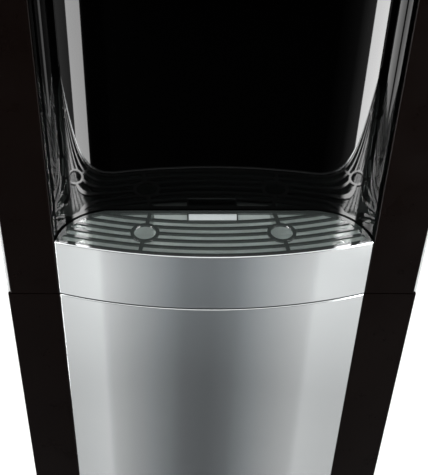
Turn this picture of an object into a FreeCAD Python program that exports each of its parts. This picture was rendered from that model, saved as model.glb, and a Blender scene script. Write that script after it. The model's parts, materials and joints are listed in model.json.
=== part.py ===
import FreeCAD, Part
import math
import os
import re

from FreeCAD import Placement, Rotation, Vector

# Floor-standing chilled and sparkling drinks dispenser, in millimetres.
# Frame: origin on the floor at the middle of the footprint, +Z up, +X to the right as seen from
# the front, front towards -Y.

DIMENSIONS = [
    # overall
    ("total_height", 1050, "floor to the top of the cover"),
    ("case_half", 160, "half the width of the black casing"),
    ("panel_proud", 2, "how far the side panels stand out of the casing"),
    ("face_y", -165, "front plane of the black pillars"),
    ("rear_y", 150, "inner face of the rear panel"),
    ("half_depth", 185, "middle of the footprint to the furthest point, front and back"),
    ("skin", 2.5, "wall of the plastic mouldings"),
    ("sheet", 1.2, "wall of the steel panels"),
    ("gap", 0.4, "clearance between pieces that move apart"),
    ("inset", 1, "how far inner sheet metal stands inside the casing"),
    # levels
    ("foot_height", 15, "rubber feet"),
    ("plinth_top", 68, "top of the plinth"),
    ("door_bottom", 70, "lower edge of the door"),
    ("door_top", 639.5, "upper edge of the door"),
    ("seam", 640, "joint between the door and the drip tray"),
    ("seam_gap", 1, "width of that joint"),
    ("tray_top", 693, "top edge of the tray front"),
    ("fascia_bottom", 905, "lower edge of the button panel"),
    ("cover_bottom", 1030, "lower edge of the top cover"),
    # base and rear panel
    ("pan_top", 36, "top edge of the base tray"),
    ("pan_wall", 2, "wall of the base tray"),
    ("foot_x", 130, "x of a foot"),
    ("foot_front", -112, "y of the front feet"),
    ("foot_rear", 125, "y of the rear feet"),
    ("foot_tread", 15, "radius of a foot on the floor"),
    ("foot_flare", 18, "radius of a foot under the base tray"),
    ("panel_bottom", 30, "lower edge of the rear panel"),
    ("vent_low", 64, "lowest slot of the rear panel"),
    ("vent_pitch", 15, "distance from slot to slot"),
    ("vent_height", 5, "height of a slot"),
    ("line_hole", 6, "radius of the holes for the refrigerant lines"),
    ("screw_x", 150, "x of a rear panel screw"),
    ("screw_low", 50, "height of the lowest rear panel screws"),
    ("screw_pitch", 240, "distance from screw to screw"),
    ("screw_radius", 2, "radius of a rear panel screw"),
    ("screw_head", 4, "radius of its head"),
    # bowed front: every bowed piece shares one vertical axis
    ("bow_radius", 410, "outer radius of the bowed fronts"),
    ("bow_centre", 226.5, "y of the axis of the bow"),
    ("bow_skin", 3, "wall of the bowed fronts"),
    # bay: a rounded rectangle in plan, open to the front
    ("bay_half", 121.5, "half the width of the bay"),
    ("bay_back", -123.5, "y of the back wall of the bay"),
    ("bay_corner", 43.5, "radius of the back corners of the bay"),
    ("bay_ceiling", 918, "underside of the ceiling of the bay"),
    ("lamp_half", 20, "half the length of the lamp in the ceiling"),
    ("lamp_front", -160, "y of the front of the lamp"),
    ("lamp_back", -154, "y of the back of the lamp"),
    # pillars either side of the bay
    ("bar_bottom", 1000, "lower edge of the cross bar behind the button panel"),
    ("return_depth", 32, "face plane to the back of the pillars' returns"),
    # drip tray and grille
    ("tray_gap", 1.2, "gap between the tray and the bay"),
    ("rim", 2, "wall of the drip basin"),
    ("basin_floor", 668, "underside of the floor of the basin"),
    ("runner_x", 70, "x of a runner under the basin"),
    ("runner_half", 3, "half the width of a runner"),
    ("grille_top", 692, "top of the grille"),
    ("grille_thick", 1.6, "thickness of the grille"),
    ("rim_width", 3.6, "width of the grille's rim at the sides and the back"),
    ("key_half", 15, "half the width of the key that locates the grille"),
    ("key_depth", 3, "how far that key reaches into the basin's block"),
    ("rib_width", 2.4, "width of a grille rib"),
    ("rib_pitch", 8, "distance from rib to rib"),
    ("first_rib", 405.3, "radius of the foremost rib"),
    ("finger_hole", 8.5, "radius of a finger hole"),
    ("finger_ring", 11.25, "outer radius of the ring around it"),
    ("finger_x", 52.6, "x of a finger hole"),
    ("finger_y", -151.9, "y of a finger hole"),
    ("cross_rib", 3, "width of the rib through a finger ring"),
    ("tab_half", 18.8, "half the width of the pale tab"),
    ("tab_front", -137, "y of the foot of the pale tab's slope"),
    ("tab_crest", -134.3, "y of the top of the slope"),
    ("tab_back", -133.3, "y of the back of the pale tab"),
    ("tab_rise", 3.2, "height of the pale tab over the ribs"),
    ("tab_sunk", 0.6, "how deep the pale tab is let into the grille"),
    ("block_half", 46, "half the width of the block at the back of the basin"),
    # door
    ("door_depth", 25, "front of the side bands to the back of the door"),
    ("band_half", 121, "half the width between the side bands"),
    ("hinge_x", 152, "x of the hinge axis"),
    ("hinge_y", -150, "y of the hinge axis"),
    ("hinge_pin", 3, "radius of a hinge pin"),
    ("pin_fit", 0.08, "running clearance round a pin, on the radius"),
    ("bush_radius", 5, "outer radius of a hinge bush"),
    ("bush_length", 16, "length of a hinge bush"),
    ("bush_block", 14, "height of the block round a hinge bush"),
    ("frame_wall", 3, "wall of the door's frame"),
    ("liner_inset", 3.2, "edge of the door to the edge of its inner panel"),
    ("panel_margin", 32, "width of the raised border of the inner panel"),
    # cabinet
    ("cabinet_front", -132.5, "front edge of the cabinet, behind the door"),
    ("cabinet_half", 157.5, "half the outer width of the cabinet liner"),
    ("cabinet_back", 105, "y of the back of the cabinet above the step"),
    ("step_front", 10, "y of the back of the cabinet below the step"),
    ("step_top", 235, "height of the step over the compressor"),
    ("cabinet_floor", 42, "underside of the liner"),
    ("cabinet_top", 636, "top of the liner"),
    ("shelf_bottom", 641, "underside of the equipment shelf"),
    ("shelf_thick", 2, "thickness of the equipment shelf"),
    ("shelf_lip", 14, "height of the shelf's rear flange"),
    ("riser_y", 128, "y of the lines that rise through the shelf"),
    ("hose_hole", 5, "radius of the holes for the gas line"),
    ("riser_hole", 7, "radius of the other holes in the shelf"),
    # gas regulator on the left wall of the cabinet
    ("regulator_x", -120, "x of the regulator"),
    ("regulator_y", -60, "y of the regulator"),
    ("regulator_low", 540, "lower end of the regulator's body"),
    ("regulator_body", 15, "radius of the regulator's body"),
    ("gauge_radius", 13, "radius of the pressure gauge"),
    ("screw_thread", 3, "radius of the adjusting screw"),
    ("screw_play", 0.05, "clearance round the adjusting screw"),
    ("gas_tube", 3, "radius of the gas line"),
    # buttons and nozzles
    ("button_radius", 12, "radius of a button"),
    ("button_z", 955, "height of the buttons"),
    ("button_spacing", 60, "distance from button to button"),
    ("button_proud", 1.5, "how far a button stands out of the panel"),
    ("flange_width", 2, "how far a button's flange reaches past its cap"),
    ("flange_thick", 1.5, "thickness of that flange"),
    ("stem_radius", 3, "radius of a button's stem"),
    ("lens_radius", 2.5, "radius of an indicator lens"),
    ("lens_rise", 24, "height of a lens over its button"),
    ("lens_proud", 0.4, "how far a lens stands out of the panel"),
    ("board_y", -155, "front face of the control board"),
    ("board_thick", 1.6, "thickness of a circuit board"),
    ("board_low", 936, "lower edge of the control board"),
    ("board_high", 988, "upper edge of the control board"),
    ("board_half", 100, "half the width of the control board"),
    ("nozzle_spacing", 45, "distance from nozzle to nozzle"),
    ("nozzle_y", -145, "y of the nozzles"),
    ("nozzle_radius", 8.5, "outer radius of a nozzle"),
    ("nozzle_tip", 894, "lower end of the nozzles"),
    ("nozzle_bore", 4, "radius of the bore of a nozzle"),
    ("nozzle_mouth", 6, "outer radius of a nozzle at its tip"),
    ("nozzle_taper", 8, "length of the taper of a nozzle"),
    ("valve_low", 934, "underside of a valve"),
    ("valve_top", 960, "top of a valve's body"),
    ("valve_half", 12, "half the width of a valve"),
    ("valve_front", 5, "a valve's front face, in front of its nozzle's axis"),
    ("valve_back", 35, "a valve's back face, behind its nozzle's axis"),
    ("valve_port", 947, "height of the tube that enters a valve"),
    # chilled tank, carbonator and pump
    ("tank_x", -50, "x of the chilled tank"),
    ("tank_y", 20, "y of the chilled tank"),
    ("tank_radius", 80, "radius of the chilled tank"),
    ("tank_bottom", 697, "lower end of the chilled tank"),
    ("tank_top", 920, "upper end of the chilled tank"),
    ("tank_neck", 8, "radius of the neck of the tank"),
    ("neck_rise", 32, "height of the neck over the tank"),
    ("port_bore", 4, "radius of the bore of the neck"),
    ("coil_tube", 4, "radius of the evaporator tube"),
    ("coil_play", 0.6, "gap between the coil and the tank"),
    ("coil_low", 36, "lowest turn of the coil, over the bottom of the tank"),
    ("coil_spare", 60, "height of the tank that the coil leaves free"),
    ("header_z", 664, "lower end of the coil's header"),
    ("foam_inner", 89.5, "inner radius of the foam shells"),
    ("foam_outer", 104, "outer radius of the foam shells"),
    ("foam_end", 15, "thickness of the ends of the foam shells"),
    ("support_height", 35, "height of the tank's supports"),
    ("support_reach", 60, "support's distance from the tank's axis, along X and along Y"),
    ("support_half", 12, "half the width of a support"),
    ("carbonator_x", 105, "x of the carbonator"),
    ("carbonator_y", -70, "y of the carbonator"),
    ("carbonator_radius", 38, "radius of the carbonator"),
    ("carbonator_lift", 12, "height of the carbonator's skirt"),
    ("carbonator_tall", 215, "height of the carbonator's shell"),
    ("shell_wall", 1.5, "wall of the carbonator"),
    ("port_spacing", 18, "distance from port to port"),
    ("port_radius", 5, "radius of a port"),
    ("port_rise", 12, "height of a port over the shell"),
    ("water_tube", 3.2, "radius of a water tube"),
    ("pump_x", 108, "x of the pump"),
    ("pump_y", 55, "y of the pump"),
    ("pump_radius", 32, "radius of the pump motor"),
    ("pump_lift", 8, "height of the pump's foot"),
    ("pump_tall", 95, "length of the pump motor"),
    ("pump_port", 120, "height of the pump's ports over the shelf"),
    ("port_reach", 34, "pump's axis to the end of a port"),
    # compressor
    ("compressor_x", -40, "x of the compressor"),
    ("compressor_y", 80, "y of the compressor"),
    ("compressor_radius", 56, "radius of the compressor shell"),
    ("compressor_bottom", 44, "lower end of the shell"),
    ("compressor_top", 195, "upper end of the shell"),
    ("grommet_x", 66, "x of a grommet from the compressor's axis"),
    ("grommet_y", 38, "y of a grommet from the compressor's axis"),
    ("grommet_neck", 5, "radius of the waist of a grommet"),
    ("plate_low", 42, "underside of the compressor's foot plate"),
    ("plate_top", 46, "top of the foot plate"),
    # condenser
    ("condenser_half", 122, "half the width of the condenser"),
    ("condenser_low", 262, "lowest tube of the condenser"),
    ("condenser_high", 982, "highest tube of the condenser"),
    ("condenser_tube", 2.5, "radius of the condenser tube"),
    ("wire_radius", 1, "radius of a condenser wire"),
    ("weld_play", 0.1, "gap between the tube and the wires"),
    ("line_radius", 2.5, "radius of the discharge and liquid lines"),
    ("suction_radius", 3, "radius of the suction line"),
    ("discharge_x", 90, "x of the discharge line's way out"),
    ("discharge_z", 240, "height of the discharge line behind the rear panel"),
    ("drier_x", 140, "x of the filter drier"),
    ("drier_y", 132, "y of the filter drier"),
    ("drier_top", 412, "upper end of the filter drier"),
    ("drier_radius", 9, "radius of the filter drier"),
    ("drier_body", 70, "length of its straight part"),
    ("drier_taper", 12, "length of each of its tapers"),
    ("liquid_z", 440, "height of the liquid line's way in"),
    # controls on the rear panel
    ("controls_x", 110, "x of the column of rear controls"),
    ("inlet_z", 100, "height of the mains inlet"),
    ("main_switch_z", 140, "height of the mains switch"),
    ("cool_switch_z", 172, "height of the cooling switch"),
    ("thermostat_z", 208, "height of the thermostat"),
    ("knob_radius", 14, "radius of the thermostat knob"),
    ("knob_shaft", 2.5, "radius of the thermostat's shaft"),
    ("neck_radius", 3.4, "radius of the thermostat's neck"),
    ("snap_fit", 0.1, "clearance of a snapped-in piece in its cut-out"),
    ("inlet_wide", 13.5, "half the width of the mains inlet's body"),
    ("inlet_tall", 9.8, "half the height of the mains inlet's body"),
    ("switch_wide", 6.9, "half the width of a switch's body"),
    ("switch_tall", 10.4, "half the height of a switch's body"),
    ("rocker_wide", 5.2, "half the width of a rocker"),
    ("rocker_deep", 3, "half the thickness of a rocker"),
    ("rocker_tall", 8.3, "half the height of a rocker"),
    ("rocker_tilt", 10, "how far a rocker leans at rest, in degrees"),
    ("water_x", 60, "x of the water inlet"),
    ("inlet_barrel", 7, "radius of the water inlet's barrel"),
    ("inlet_nut", 10.5, "radius of the water inlet's nuts"),
    ("push_fit", 3.2, "radius of the socket for the supply tube"),
]

NOZZLE_PLACES = (-1, 0, 1)
BUTTON_NAMES = {-1: "button_left", 0: "button_centre", 1: "button_right"}
RIB_COUNT = 6
COIL_TURNS = 9
CONDENSER_RUNS = 17
CONDENSER_WIRES = 21
VENT_ROWS = 8
VENT_SPANS = ((-135, -60), (-40, 35))
SCREW_ROWS = 5
SIDES = (-1, 1)
FAR_FRONT = "-half_depth - 20"
PORTS = (-1, 0, 1)
LONG_EDGE = 150

doc = FreeCAD.newDocument("drinks_dispenser")
sheet = doc.addObject("Spreadsheet::Sheet", "dims")
for row, (alias, value, note) in enumerate(DIMENSIONS, start=1):
    sheet.set(f"A{row}", note)
    sheet.set(f"B{row}", str(value))
    sheet.setAlias(f"B{row}", alias)
doc.recompute()

ALIASES = {alias for alias, value, note in DIMENSIONS}
TURNS = {
    "X": Rotation(Vector(0, 1, 0), 90),
    "Y": Rotation(Vector(1, 0, 0), -90),
    "Z": Rotation(),
}
nodes = []


# ---- sizes and primitives ----

def size(alias):
    """A driving dimension as a plain number."""
    return float(sheet.get(alias))


def bind(obj, prop, text):
    """Bind a property to an expression of driving dimensions."""
    obj.setExpression(prop, re.sub(r"[a-z][a-z_]*", lambda m: named(m.group()), str(text)))


def named(word):
    return "dims." + word if word in ALIASES else word


def place(obj, x, y, z, turn=None):
    if turn is not None:
        obj.Placement = Placement(Vector(), turn)
    bind(obj, "Placement.Base.x", x)
    bind(obj, "Placement.Base.y", y)
    bind(obj, "Placement.Base.z", z)
    return obj


def box(x, y, z):
    """A box from three (low, high) pairs of expressions."""
    obj = doc.addObject("Part::Box", "box")
    for prop, (low, high) in (("Length", x), ("Width", y), ("Height", z)):
        bind(obj, prop, f"({high}) - ({low})")
    return place(obj, x[0], y[0], z[0])


def centred(x, y, z, wide, deep, tall):
    """A box about a centre, with half sizes."""
    return box((f"{x} - ({wide})", f"{x} + ({wide})"), (f"{y} - ({deep})", f"{y} + ({deep})"),
               (f"{z} - ({tall})", f"{z} + ({tall})"))


def rod(x, y, z, radius, length, axis="Z"):
    """A cylinder that starts at a point and runs along a positive axis."""
    obj = doc.addObject("Part::Cylinder", "rod")
    bind(obj, "Radius", radius)
    bind(obj, "Height", length)
    return place(obj, x, y, z, TURNS[axis])


def cone(x, y, z, low_radius, high_radius, length, axis="Z"):
    obj = doc.addObject("Part::Cone", "cone")
    bind(obj, "Radius1", low_radius)
    bind(obj, "Radius2", high_radius)
    bind(obj, "Height", length)
    return place(obj, x, y, z, TURNS[axis])


def ring(x, y, z, radius, tube):
    obj = doc.addObject("Part::Torus", "ring")
    bind(obj, "Radius1", radius)
    bind(obj, "Radius2", tube)
    return place(obj, x, y, z)


# ---- booleans, edges and groups ----

def fuse(*parts):
    obj = doc.addObject("Part::MultiFuse", "fuse")
    obj.Shapes = list(parts)
    obj.Refine = True
    return obj


def cut(base, *tools):
    obj = doc.addObject("Part::Cut", "cut")
    obj.Base = base
    obj.Tool = tools[0] if len(tools) == 1 else fuse(*tools)
    return obj


def common(first, second):
    obj = doc.addObject("Part::Common", "common")
    obj.Base = first
    obj.Tool = second
    return obj


def group(parts):
    obj = doc.addObject("Part::Compound", "group")
    obj.Links = list(parts)
    return obj


def fillet(base, radius, wanted):
    """Round the edges for which wanted(edge) is true."""
    doc.recompute()
    obj = doc.addObject("Part::Fillet", "fillet")
    obj.Base = base
    edges = enumerate(base.Shape.Edges, start=1)
    obj.Edges = [(index, radius, radius) for index, edge in edges if wanted(edge)]
    return obj


def upright(edge):
    """True for a straight vertical edge."""
    ends = [vertex.Point for vertex in edge.Vertexes]
    return len(ends) == 2 and math.hypot(ends[0].x - ends[1].x, ends[0].y - ends[1].y) < 0.01


def level(edge, z):
    """True for an edge that lies at one height."""
    bounds = edge.BoundBox
    return abs(bounds.ZMin - z) < 0.01 and abs(bounds.ZMax - z) < 0.01


def front_edge(edge, alias):
    """True for the long front edge of a bowed piece at a named height."""
    ahead = edge.BoundBox.YMin < size("face_y") - 5
    return ahead and edge.Length > LONG_EDGE and level(edge, size(alias))


def node(label, obj):
    obj.Label = label
    nodes.append(obj)
    return obj


def shape_node(label, shape):
    """A node whose shape is made in code, such as a bent tube."""
    obj = doc.addObject("Part::Feature", "made")
    obj.Shape = shape
    obj.Placement = Placement()
    return node(label, obj)


def tube(points, radius, bend):
    """A round tube along straight runs joined by tangent arcs."""
    edges = []
    start = points[0]
    for before, corner, after in zip(points, points[1:], points[2:]):
        back = (before - corner).normalize()
        ahead = (after - corner).normalize()
        half_turn = (math.pi - back.getAngle(ahead)) / 2
        reach = bend * math.tan(half_turn)
        entry = corner + back * reach
        leave = corner + ahead * reach
        middle = (back + ahead).normalize()
        belly = corner + middle * (bend / math.cos(half_turn) - bend)
        edges.append(Part.LineSegment(start, entry).toShape())
        edges.append(Part.Arc(entry, belly, leave).toShape())
        start = leave
    edges.append(Part.LineSegment(start, points[-1]).toShape())
    path = Part.Wire(edges)
    section = Part.Wire(Part.makeCircle(radius, points[0], points[1] - points[0]))
    return path.makePipeShell([section], True, True)


# ---- shapes that several pieces share ----

def bow(inset, z):
    """The cylinder that all bowed fronts are cut from, made smaller by an inset."""
    return rod(0, "bow_centre", z[0], f"bow_radius - ({inset})", f"({z[1]}) - ({z[0]})")


def bay_block(grow, z):
    """The bay as a solid, grown or shrunk, from well in front of the pillars to its back."""
    half = f"bay_half + ({grow})"
    corner = f"bay_corner + ({grow})"
    corner_x = "bay_half - bay_corner"
    corner_y = "bay_back - bay_corner"
    tall = f"({z[1]}) - ({z[0]})"
    front = box((f"-({half})", half), ("face_y - 40", corner_y), z)
    back = box((f"-({corner_x})", corner_x), ("face_y - 40", f"bay_back + ({grow})"), z)
    left = rod(f"-({corner_x})", corner_y, z[0], corner, tall)
    right = rod(corner_x, corner_y, z[0], corner, tall)
    return fuse(front, back, left, right)


def bowed_panel(half, back, z, inner_z):
    """A bowed front, hollow behind, closed where inner_z stops short of z."""
    outside = common(box((f"-({half})", half), (FAR_FRONT, back), z), bow(0, z))
    inside_half = f"{half} - bow_skin"
    inside = common(
        box((f"-({inside_half})", inside_half), (FAR_FRONT, f"{back} + 1"), inner_z),
        bow("bow_skin", inner_z))
    return outside, inside


def rear_bore(x, z, radius):
    """A round hole through the rear panel."""
    return rod(x, "rear_y - 1", z, radius, "sheet + 2", "Y")


def rear_slot(z, wide, tall):
    """A cut-out of the rear panel in the column of controls, from half sizes."""
    return centred("controls_x", "rear_y", z, f"{wide} + snap_fit", "sheet + 1", f"{tall} + snap_fit")


def screw_places():
    return [(f"screw_x * ({side})", f"screw_low + screw_pitch * {row}")
            for side in SIDES for row in range(SCREW_ROWS)]


def bow_depth(x, inset):
    """y of the bowed front at x, inset by a wall."""
    radius = size("bow_radius") - inset
    return size("bow_centre") - math.sqrt(radius ** 2 - x ** 2)


# ---- base and casing ----

def make_base():
    half = "case_half - inset"
    pan = box((f"-({half})", half), ("cabinet_front", "rear_y"), ("foot_height", "pan_top"))
    hollow = box((f"-({half}) + pan_wall", f"{half} - pan_wall"),
                 ("cabinet_front + pan_wall", "rear_y - pan_wall"),
                 ("foot_height + pan_wall", "pan_top + 1"))
    node("base_tray", cut(pan, hollow))

    feet = [cone(f"foot_x * ({side})", y, 0, "foot_tread", "foot_flare", "foot_height")
            for side in SIDES for y in ("foot_front", "foot_rear")]
    node("rubber_feet", group(feet))

    plinth_front = "face_y + 5"
    outside = box(("-case_half", "case_half"), (plinth_front, "cabinet_front - 0.5"),
                  ("foot_height", "plinth_top"))
    inside = box(("-case_half + skin", "case_half - skin"), (f"{plinth_front} + skin", "cabinet_front"),
                 ("foot_height - 1", "plinth_top - skin"))
    node("plinth", cut(outside, inside))


def make_side_panel(label, low, high):
    """A side panel whose front edge steps back below the seam to make room for the door."""
    panel = box((low, high), ("face_y + 1.5", "rear_y + sheet"), ("foot_height", "cover_bottom"))
    notch = box((f"{low} - 1", f"{high} + 1"), ("face_y", "cabinet_front - 0.5"),
                ("foot_height - 1", "seam + seam_gap / 2"))
    node(label, cut(panel, notch))


def make_rear_panel():
    panel = box(("-case_half", "case_half"), ("rear_y", "rear_y + sheet"),
                ("panel_bottom", "cover_bottom"))
    holes = [rear_slot("inlet_z", "inlet_wide", "inlet_tall"),
             rear_slot("main_switch_z", "switch_wide", "switch_tall"),
             rear_slot("cool_switch_z", "switch_wide", "switch_tall"),
             rear_bore("controls_x", "thermostat_z", "neck_radius"),
             rear_bore("water_x", "inlet_z", "inlet_barrel"),
             rear_bore("discharge_x", "discharge_z", "line_hole"),
             rear_bore("drier_x", "liquid_z", "line_hole")]
    for row in range(VENT_ROWS):
        z = f"vent_low + vent_pitch * {row}"
        for span in VENT_SPANS:
            holes.append(box(span, ("rear_y - 1", "rear_y + sheet + 1"), (z, f"{z} + vent_height")))
    for x, z in screw_places():
        holes.append(rear_bore(x, z, "screw_radius + snap_fit"))
    node("rear_panel", cut(panel, *holes))

    shank_length = 10
    head_crown = 2.6
    head_height = 2.2
    screws = []
    for x, z in screw_places():
        shank = rod(x, "rear_y - 8", z, "screw_radius", shank_length, "Y")
        head = cone(x, "rear_y + sheet", z, "screw_head", head_crown, head_height, "Y")
        screws.append(fuse(shank, head))
    node("rear_panel_screws", group(screws))





def make_top_cover():
    """A flat cover whose front edge follows the bow of the button panel."""
    z = ("cover_bottom", "total_height")
    side = "case_half + panel_proud"
    plain = box((f"-({side})", side), ("face_y", "rear_y + sheet"), z)
    prow = common(box(("-bay_half", "bay_half"), (FAR_FRONT, "face_y + 10"), z), bow(0, z))
    outside = fuse(plain, prow)
    edge_round = 4
    rounded = fillet(outside, edge_round, lambda edge: level(edge, size("total_height")))
    inner_z = ("cover_bottom - 1", "total_height - skin")
    hollow = box((f"-({side} - skin)", f"{side} - skin"), ("face_y + skin", "rear_y - skin"), inner_z)
    node("top_cover", cut(rounded, hollow))


def make_upper_casing():
    """Black front casing: two pillars and a cross bar behind the button panel."""
    z = ("seam + seam_gap / 2", "cover_bottom")
    plate = box(("-case_half", "case_half"), ("face_y", "face_y + skin"), z)
    window = box(("-bay_half", "bay_half"), ("face_y - 1", "face_y + skin + 1"),
                 ("seam", "cover_bottom + 1"))
    pillars = cut(plate, window)
    bar = box(("-case_half + inset", "case_half - inset"), ("face_y + skin", "face_y + 2 * skin"),
              ("bar_bottom", "cover_bottom"))
    return_y = ("face_y + 1", "face_y + return_depth")
    left = box(("-case_half", "-case_half + skin"), return_y, z)
    right = box(("case_half - skin", "case_half"), return_y, z)
    body = fuse(pillars, bar, left, right)
    front = size("face_y")
    edges = (size("bay_half"), size("case_half"))

    def pillar_edge(edge):
        point = edge.Vertexes[0].Point
        return (upright(edge) and abs(point.y - front) < 0.01 and edge.Length > LONG_EDGE
                and any(abs(abs(point.x) - x) < 0.01 for x in edges))

    edge_round = 0.8
    node("upper_casing", fillet(body, edge_round, pillar_edge))


def make_alcove_liner():
    """The glossy bay: side and back walls in one sweep, with a floor and a ceiling."""
    walls = cut(bay_block("skin", ("seam + 0.5", "bay_ceiling + skin")),
                bay_block(0, ("seam", "bay_ceiling + skin + 1")))
    overlap = 0.5
    floor = bay_block(overlap, ("seam + 0.5", "seam + 0.5 + skin"))
    ceiling = bay_block(overlap, ("bay_ceiling", "bay_ceiling + skin"))
    across = ("-case_half - 40", "case_half + 40")
    front = box(across, ("face_y - 60", "face_y + skin"), ("seam - 40", "cover_bottom"))
    floor_front = box(across, ("face_y - 60", "face_y + 7"), ("seam - 40", "seam + 20"))
    holes = [rod(f"nozzle_spacing * {k}", "nozzle_y", "bay_ceiling - 5", "nozzle_radius", 20)
             for k in NOZZLE_PLACES]
    lamp_x = ("-lamp_half", "lamp_half")
    lamp_y = ("lamp_front", "lamp_back")
    lamp = box(lamp_x, lamp_y, ("bay_ceiling - 5", "bay_ceiling + 8"))
    body = fuse(walls, cut(floor, floor_front), ceiling)
    node("alcove_liner", cut(body, front, lamp, *holes))
    node("alcove_lamp", box(lamp_x, lamp_y, ("bay_ceiling - 0.6", "bay_ceiling + 4")))


# ---- button panel ----

def make_fascia():
    z = ("fascia_bottom", "cover_bottom - 0.5")
    outside, inside = bowed_panel("bay_half - 0.5", "face_y + 2.4", z,
                                  ("fascia_bottom + skin", "cover_bottom + 5"))
    edge_round = 1.5
    outside = fillet(outside, edge_round, lambda edge: front_edge(edge, "fascia_bottom"))
    bore = 30
    holes = []
    for k in NOZZLE_PLACES:
        x = f"button_spacing * {k}"
        lens_z = "button_z + lens_rise"
        holes.append(rod(x, "-half_depth - 10", "button_z", "button_radius + gap", bore, "Y"))
        holes.append(rod(x, "-half_depth - 10", lens_z, "lens_radius", bore, "Y"))
    node("fascia_panel", cut(outside, inside, *holes))


def make_button(k):
    """A round button with a bowed face, a retaining flange and a stem to its switch."""
    x = f"button_spacing * {k}"
    outermost = abs(size("button_spacing") * k) + size("button_radius") + size("flange_width")
    flange_y = bow_depth(outermost, size("bow_skin")) + 0.6
    front = "-half_depth - 10"
    cap = common(rod(x, front, "button_z", "button_radius", f"{flange_y} + 2 - ({front})", "Y"),
                 bow("-button_proud", ("button_z - 40", "button_z + 40")))
    plate = rod(x, flange_y, "button_z", "button_radius + flange_width", "flange_thick", "Y")
    stem = rod(x, flange_y + 1, "button_z", "stem_radius", f"board_y - 8 - ({flange_y + 1})", "Y")
    node(BUTTON_NAMES[k], fuse(cap, plate, stem))


def make_control_board():
    """The board behind the buttons, with a switch and a lamp for each and two large parts."""
    board = box(("-board_half", "board_half"), ("board_y", "board_y + board_thick"),
                ("board_low", "board_high"))
    parts = [board]
    for k in NOZZLE_PLACES:
        x = f"button_spacing * {k}"
        parts.append(centred(x, "board_y - 2.4", "button_z", 6, 2.9, 6))
        parts.append(centred(x, "board_y - 1", "button_z + lens_rise", 2, 1.5, 2))
    chip = centred(30, "board_y - 1", "board_low + 8", 9, 1.5, 6)
    connector = centred(-85, "board_y - 2", "board_high - 20", 6, 2.5, 12)
    node("control_board", fuse(*parts, chip, connector))

    lens_length = 36.5
    lenses = []
    for k in NOZZLE_PLACES:
        pipe = rod(f"button_spacing * {k}", "-half_depth - 10", "button_z + lens_rise",
                   "lens_radius", lens_length, "Y")
        lenses.append(common(pipe, bow("-lens_proud", ("button_z", "button_z + 40"))))
    node("indicator_lenses", group(lenses))


def make_nozzles():
    nozzles = []
    for k in NOZZLE_PLACES:
        x = f"nozzle_spacing * {k}"
        barrel = rod(x, "nozzle_y", "nozzle_tip + nozzle_taper", "nozzle_radius", 32)
        tip = cone(x, "nozzle_y", "nozzle_tip", "nozzle_mouth", "nozzle_radius", "nozzle_taper")
        bore = rod(x, "nozzle_y", "nozzle_tip - 1", "nozzle_bore", 30)
        nozzles.append(cut(fuse(barrel, tip), bore))
    node("nozzles", group(nozzles))

    coil_radius = 11
    coil_height = 30
    cap_radius = 5
    cap_height = 5
    axis_y = "nozzle_y + 15"
    valves = []
    for k in NOZZLE_PLACES:
        x = f"nozzle_spacing * {k}"
        body = box((f"{x} - valve_half", f"{x} + valve_half"),
                   ("nozzle_y - valve_front", "nozzle_y + valve_back"), ("valve_low", "valve_top"))
        coil = rod(x, axis_y, "valve_top", coil_radius, coil_height)
        cap = rod(x, axis_y, f"valve_top + {coil_height}", cap_radius, cap_height)
        valves.append(fuse(body, coil, cap))
    node("solenoid_valves", group(valves))


# ---- drip tray and grille ----

def make_tray():
    """The tray slides out forwards: a silver front, and a basin that carries the grille."""
    z = ("seam + seam_gap", "tray_top")
    front = cut(common(box(("-bay_half + 0.8", "bay_half - 0.8"), ("-half_depth", "bow_centre"), z),
                       bow(0, z)),
                bow("bow_skin", ("seam", "tray_top + 1")))
    trimmed = common(front, box(("-bay_half", "bay_half"), ("-half_depth", "face_y + 10"), z))
    edge_round = 1.8

    def outer_top(edge):
        outer = abs(getattr(edge.Curve, "Radius", 0) - size("bow_radius")) < 0.01
        return outer and front_edge(edge, "tray_top")

    node("tray_front", fillet(trimmed, edge_round, outer_top))

    wall_top = "grille_top - grille_thick"
    outside_z = ("basin_floor", wall_top)
    outside = common(bay_block("-tray_gap", outside_z), bow("bow_skin", outside_z))
    room_z = ("basin_floor + rim", f"{wall_top} + 1")
    room = common(bay_block("-tray_gap - rim", room_z), bow("bow_skin + rim", room_z))
    runners = [box((f"runner_x * ({side}) - runner_half", f"runner_x * ({side}) + runner_half"),
                   ("face_y - 8", "bay_back - 12"),
                   ("seam + 0.5 + skin + gap", "basin_floor + 0.5")) for side in SIDES]
    block = box(("-block_half", "block_half"), ("tab_front", "bay_back - tray_gap - rim"),
                ("basin_floor + 0.5", f"{wall_top} - gap"))
    key_room = box(("-key_half - gap", "key_half + gap"), ("tab_front + 2 - gap", "tab_back + gap"),
                   (f"{wall_top} - key_depth - gap", wall_top))
    node("drip_basin", fuse(cut(outside, room), cut(block, key_room), *runners))


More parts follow.
